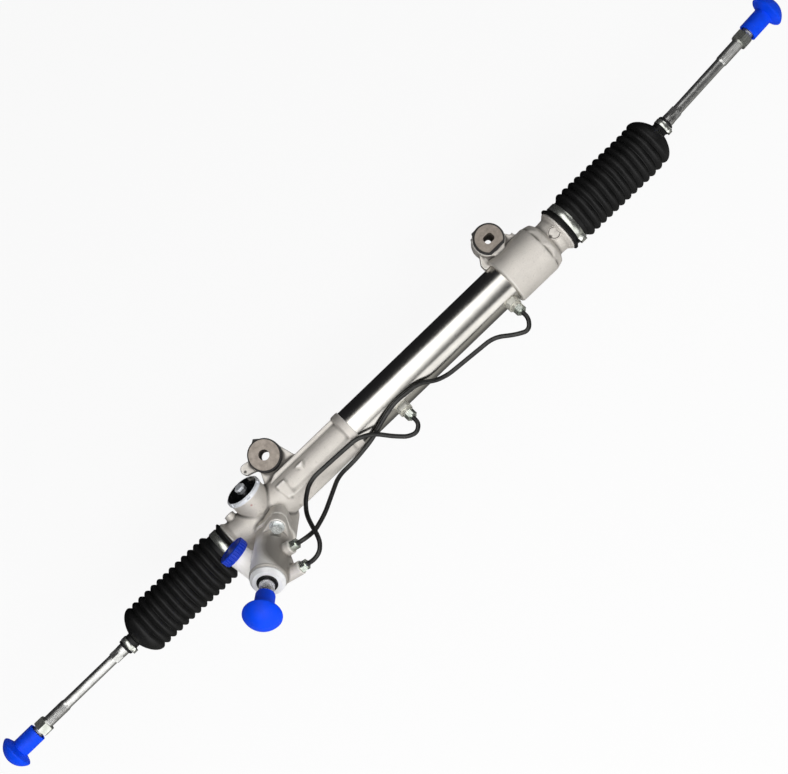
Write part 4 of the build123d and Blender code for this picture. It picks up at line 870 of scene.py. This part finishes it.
def strap(name, centre, axis, radius, width, thickness, ear_height, ear_half, ear_towards):
    """Band clamp with one crimped ear. A rectangle with cut corners is carried round a circle whose
    radius rises by ear_height*(3*rise^2 - 2*rise^3) within ear_half radians of the ear's direction,
    where a bell curve also pinches its width."""
    angles = full_turn(240)
    across, up = ring_frame(axis)
    start = math.atan2(np.dot(ear_towards, up), np.dot(ear_towards, across))
    turn = np.abs((angles + math.pi) % (2 * math.pi) - math.pi)
    rise = np.clip((ear_half - turn) / (0.35 * ear_half), 0, 1)
    lift = ear_height * rise * rise * (3 - 2 * rise)
    pinch = 1 - 0.35 * np.exp(-((turn / (0.45 * ear_half)) ** 2))
    corner = 0.3 * thickness
    section = np.array([
        (-width / 2 + corner, 0), (width / 2 - corner, 0), (width / 2, corner),
        (width / 2, thickness - corner), (width / 2 - corner, thickness),
        (-width / 2 + corner, thickness), (-width / 2, thickness - corner), (-width / 2, corner),
    ])
    along = section[None, :, 0] * pinch[:, None]
    reach = radius + section[None, :, 1] + lift[:, None]
    return grid_object(name, turned(along, reach, angles + start, centre, axis))


class RACK_OT_clamps(bpy.types.Operator):
    """Crimped band clamps on both cuffs of each bellows"""

    bl_idname = "rack.clamps"
    bl_label = "Clamps"

    def execute(self, context):
        for side in SIDES:
            centre, rack_end, rod = ball_of(side), end_axis(side), rod_axis(side)
            large = strap(
                f"{side}_large_band", centre + rack_end * (CLAMP_MIDDLE - BAND_SHIFT), rack_end,
                LARGE_BAND_RADIUS, *LARGE_BAND, EAR_TOWARDS,
            )
            small = strap(
                f"{side}_small_band", centre + rod * SMALL_BAND_PLACE, rod,
                SMALL_BAND_RADIUS, *SMALL_BAND, EAR_TOWARDS,
            )
            for piece, node, body in (
                (large, "large_clamps", "housing"),
                (small, f"{side}_small_clamp", f"{side}_tie_rod"),
            ):
                dress(piece, finish_of(node))
                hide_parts(node)
                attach(piece, body)
        return {"FINISHED"}


def thread(name, centre, axis, start, end, root, crest, pitch):
    """Screw thread over a rod. The radius is a triangle wave of along/pitch - angle/(2*pi) between
    root and crest, which fades out at both ends; a plain inner wall closes it under the root."""
    angles = full_turn(72)
    along = np.linspace(start, end, max(12, round((end - start) / pitch * 8)))
    phase = (along[None, :] / pitch - angles[:, None] / (2 * math.pi)) % 1.0
    height = 1 - np.abs(2 * phase - 1)
    fade = np.clip(np.minimum(along - start, end - along) / (0.8 * pitch), 0, 1)
    radius = root + (crest - root) * height * fade[None, :]
    inside = np.full_like(radius, root - 0.5 * MM)
    lengths = np.concatenate([along, along[::-1]])
    reach = np.concatenate([radius, inside[:, ::-1]], axis=1)
    return grid_object(name, turned(lengths, reach, angles, centre, axis))


class RACK_OT_threads(bpy.types.Operator):
    """Screw threads on the tie rods, either side of the jam nuts"""

    bl_idname = "rack.threads"
    bl_label = "Threads"

    def execute(self, context):
        pitch = context.scene.rack_looks.thread_pitch
        for side in SIDES:
            for label, start, end in THREADS:
                piece = thread(
                    f"{side}_thread_{label}", ball_of(side), rod_axis(side), start, end,
                    THREAD_ROOT, THREAD_CREST, pitch,
                )
                dress(piece, finish_of(f"{side}_tie_rod"))
                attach(piece, f"{side}_tie_rod")
        return {"FINISHED"}


# ---------------------------------------------------------------- staked disc
STAKE_PLACE = np.array([418.0, -47.9, 22.8]) * MM
STAKE_DISC_RADIUS = 8.2 * MM
STAKE_REACH = 6.6 * MM
STAKE_SIZE = 2.3 * MM
STAKE_DEPTH = 1.4 * MM
# size and shift of the painted highlight beside each stake
STAKE_HIGHLIGHT_SIZE = 2.4 * MM
STAKE_HIGHLIGHT_SHIFT = 2.2 * MM
# from the middle of the top, outwards and down: share of the disc's radius, height in mm
STAKE_DISC_PROFILE = np.array([
    (0, 1.2), (0.2, 1.2), (0.4, 1.2), (0.55, 1.2), (0.66, 1.15), (0.72, 1.1), (0.76, 0.6),
    (0.84, 0.6), (0.88, 1.1), (0.90, 1.2), (0.93, 1.15), (0.97, 0.95), (1.0, 0.6), (1.0, -4),
    (0.6, -4), (0, -4),
])


class RACK_OT_staked_disc(bpy.types.Operator):
    """Round disc pressed into the end housing's neck and staked at two places on its edge"""

    bl_idname = "rack.staked_disc"
    bl_label = "Staked Disc"

    def execute(self, context):
        """A profile turned about Z: flat top, ring groove, rounded edge and a skirt into the neck.
        Two stakes, at plus and minus STAKE_REACH along X, lower it by STAKE_DEPTH times the bell
        curve exp(-(away/STAKE_SIZE)^2). The stakes and the groove are stored as painted shade,
        with a painted highlight beside each stake."""
        share, height = STAKE_DISC_PROFILE.T
        radius = share * STAKE_DISC_RADIUS
        points = turned(height * MM, radius, full_turn(96), STAKE_PLACE, UP)
        offset = points - STAKE_PLACE
        away = np.hypot(np.abs(offset[..., 0]) - STAKE_REACH, offset[..., 1])
        stake = np.exp(-((away / STAKE_SIZE) ** 2)) * (offset[..., 2] > 0)
        points[..., 2] -= STAKE_DEPTH * stake
        piece = grid_object("neck_stake_disc", points, close_columns=False)
        # painted shade in the stakes and the groove, painted highlight beside the stakes
        groove = np.clip((1.1 - height) / 0.35, 0, 1) * (share < 0.9) * (height > 0)
        beside = np.hypot(away, STAKE_HIGHLIGHT_SHIFT * (offset[..., 0] > 0))
        painted_highlight = np.exp(-((beside / STAKE_HIGHLIGHT_SIZE) ** 2)) * 0.4
        shade_and_sheen = stake * 0.9 + groove[None, :] * 0.45 - painted_highlight * (1 - stake)
        store_shade_and_sheen(piece.data, shade_and_sheen.ravel())
        merge_points(piece.data)
        dress(piece, finish_of("end_housing"))
        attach(piece, "housing")
        return {"FINISHED"}


# ---------------------------------------------------------------- stage
CAMERA_PLACE = Vector((41.17, -220.64, 1990.0)) * MM
CAMERA_LEAN = math.radians(5.0)
CAMERA_ROLL = math.radians(43.92)
FOCAL_PIXELS = 1716.2
IMAGE_SIZE = (788, 774)
AIM_PIXEL = (318.64, 460.29)
SENSOR_WIDTH = 36.0
FLOOR_HEIGHT = -0.15  # clears the tie rods at their lowest
FLOOR_HALF = 6.0
FLOOR_GLOW = 0.88
NEAR_SIDE_AT = -640 * MM
# what the camera, the lit surfaces and the mirrors see around the part
BACKDROP = (0.92, 0.92, 0.92)
WORLD_LIGHT = (0.10, 0.10, 0.10)
SURROUND = (0.014, 0.014, 0.016)
NEAR_SIDE_FLOOR = (0.46, 0.455, 0.43)
LAMP_TARGET = (0.16, -0.05, 0.0)
# place, size, watts, whether mirrors see it and whether it lights rough surfaces
LAMPS = {
    "key": ((-0.20, 0.07, 2.3), (4.2, 1.86), 52.0, True, False),
    "fill": ((-0.20, -0.95, 2.0), (3.6, 1.2), 46.0, False, True),
    "side": ((-0.40, -1.78, 0.84), (3.2, 1.5), 22.0, True, True),
    "end": ((1.9, 0.3, 0.8), (0.9, 0.9), 4.0, True, True),
}


def area_light(name, place, size, power, mirrored, lights):
    """Lamp aimed at the part. It can be left out of mirrors, or be seen in them alone."""
    lamp = bpy.data.lights.new(name, "AREA")
    lamp.shape = "RECTANGLE"
    lamp.size, lamp.size_y = size
    lamp.energy = power
    holder = bpy.data.objects.new(name, lamp)
    holder.location = place
    towards = Vector(LAMP_TARGET) - Vector(place)
    holder.rotation_euler = towards.to_track_quat("-Z", "Y").to_euler()
    holder.visible_glossy = mirrored
    holder.visible_diffuse = lights
    bpy.context.scene.collection.objects.link(holder)


def camera():
    """Camera over the part, turned so that the rack runs up to the right."""
    data = bpy.data.cameras.new("camera")
    data.sensor_fit = "HORIZONTAL"
    data.sensor_width = SENSOR_WIDTH
    data.lens = SENSOR_WIDTH * FOCAL_PIXELS / IMAGE_SIZE[0]
    data.shift_x = (IMAGE_SIZE[0] / 2 - AIM_PIXEL[0]) / IMAGE_SIZE[0]
    data.shift_y = (AIM_PIXEL[1] - IMAGE_SIZE[1] / 2) / IMAGE_SIZE[0]
    data.clip_end = 50.0
    holder = bpy.data.objects.new("camera", data)
    tipped = Vector((0, math.cos(CAMERA_LEAN), math.sin(CAMERA_LEAN)))
    east = Vector((1, 0, 0))
    right = east * math.cos(CAMERA_ROLL) - tipped * math.sin(CAMERA_ROLL)
    up = east * math.sin(CAMERA_ROLL) + tipped * math.cos(CAMERA_ROLL)
    back = right.cross(up)
    turn = Matrix((right, up, back)).transposed().to_4x4()
    holder.matrix_world = Matrix.Translation(CAMERA_PLACE) @ turn
    bpy.context.scene.collection.objects.link(holder)
    bpy.context.scene.camera = holder


def stage_floor(looks):
    """Wide pale floor below the part. The camera sees it near white with soft shadows; mirrors see
    it dark under the far side and grey on the near side."""
    mesh = bpy.data.meshes.new("floor")
    half, low = FLOOR_HALF, FLOOR_HEIGHT
    corners = [(-half, -half, low), (half, -half, low), (half, half, low), (-half, half, low)]
    mesh.from_pydata(corners, [], [(0, 1, 2, 3)])
    floor = bpy.data.objects.new("floor", mesh)
    bpy.context.scene.collection.objects.link(floor)
    finish = Finish("pale_floor", Roughness=0.9, Specular_IOR_Level=0.1)
    base = (*looks.floor, 1.0)
    cloud = finish.noise(400.0, 2.0)
    finish.set(Base_Color=finish.mix(cloud, shaded(base, 0.98), base))
    glow = finish.node("ShaderNodeEmission", {}, {"Color": rgb(1, 1, 1), "Strength": 1.0})
    near_side = finish.parts()[1].step(0.0, NEAR_SIDE_AT)
    mirrored = finish.mix(near_side, rgb(*SURROUND), rgb(*NEAR_SIDE_FLOOR))
    dusk = finish.node("ShaderNodeEmission", {}, {"Color": mirrored, "Strength": 1.0})
    surface = Value(finish, finish.shader.outputs[0])
    lifted = finish.ray("Is Camera Ray") * FLOOR_GLOW
    in_mirror = finish.ray("Is Glossy Ray")
    seen = finish.node("ShaderNodeMixShader", {}, {0: lifted, 1: surface, 2: glow})
    mixed = finish.node("ShaderNodeMixShader", {}, {0: in_mirror, 1: seen, 2: dusk})
    output = finish.tree.nodes["Material Output"]
    finish.tree.links.new(mixed.socket, output.inputs["Surface"])
    dress(floor, finish.material)


def studio_world():
    """Even light from all round. Mirrors see it as a dark room, the camera as a pale backdrop."""
    world = bpy.data.worlds.new("studio")
    around = NodeTree(world, "Background")
    room = around.mix(around.ray("Is Glossy Ray"), rgb(*WORLD_LIGHT), rgb(*SURROUND))
    around.set(Color=around.mix(around.ray("Is Camera Ray"), room, rgb(*BACKDROP)))
    return world


class RACK_OT_stage(bpy.types.Operator):
    """Floor, lights, world and camera"""

    bl_idname = "rack.stage"
    bl_label = "Stage"

    def execute(self, context):
        scene = context.scene
        scene.view_settings.view_transform = "Standard"
        scene.world = studio_world()
        stage_floor(scene.rack_looks)
        for name, settings in LAMPS.items():
            area_light(name, *settings)
        camera()
        return {"FINISHED"}


# ---------------------------------------------------------------- panel and run
class RACK_PT_looks(bpy.types.Panel):
    """Settings and one button for each operator"""

    bl_label = "Steering Rack"
    bl_space_type = "VIEW_3D"
    bl_region_type = "UI"
    bl_category = "Steering Rack"

    def draw(self, context):
        looks = context.scene.rack_looks
        for name in RackLooks.__annotations__:
            self.layout.prop(looks, name)
        for operator in OPERATORS:
            self.layout.operator(operator.bl_idname)


OPERATORS = (
    RACK_OT_stage,
    RACK_OT_finishes,
    RACK_OT_castings,
    RACK_OT_bellows,
    RACK_OT_clamps,
    RACK_OT_threads,
    RACK_OT_staked_disc,
)


def register():
    for item in (RackLooks, *OPERATORS, RACK_PT_looks):
        bpy.utils.register_class(item)
    bpy.types.Scene.rack_looks = bpy.props.PointerProperty(type=RackLooks)


def unregister():
    del bpy.types.Scene.rack_looks
    for item in (RACK_PT_looks, *reversed(OPERATORS), RackLooks):
        bpy.utils.unregister_class(item)


def main():
    """Runs every operator in order."""
    register()
    for operator in OPERATORS:
        group, name = operator.bl_idname.split(".")
        getattr(getattr(bpy.ops, group), name)()


if __name__ == "__main__":
    main()
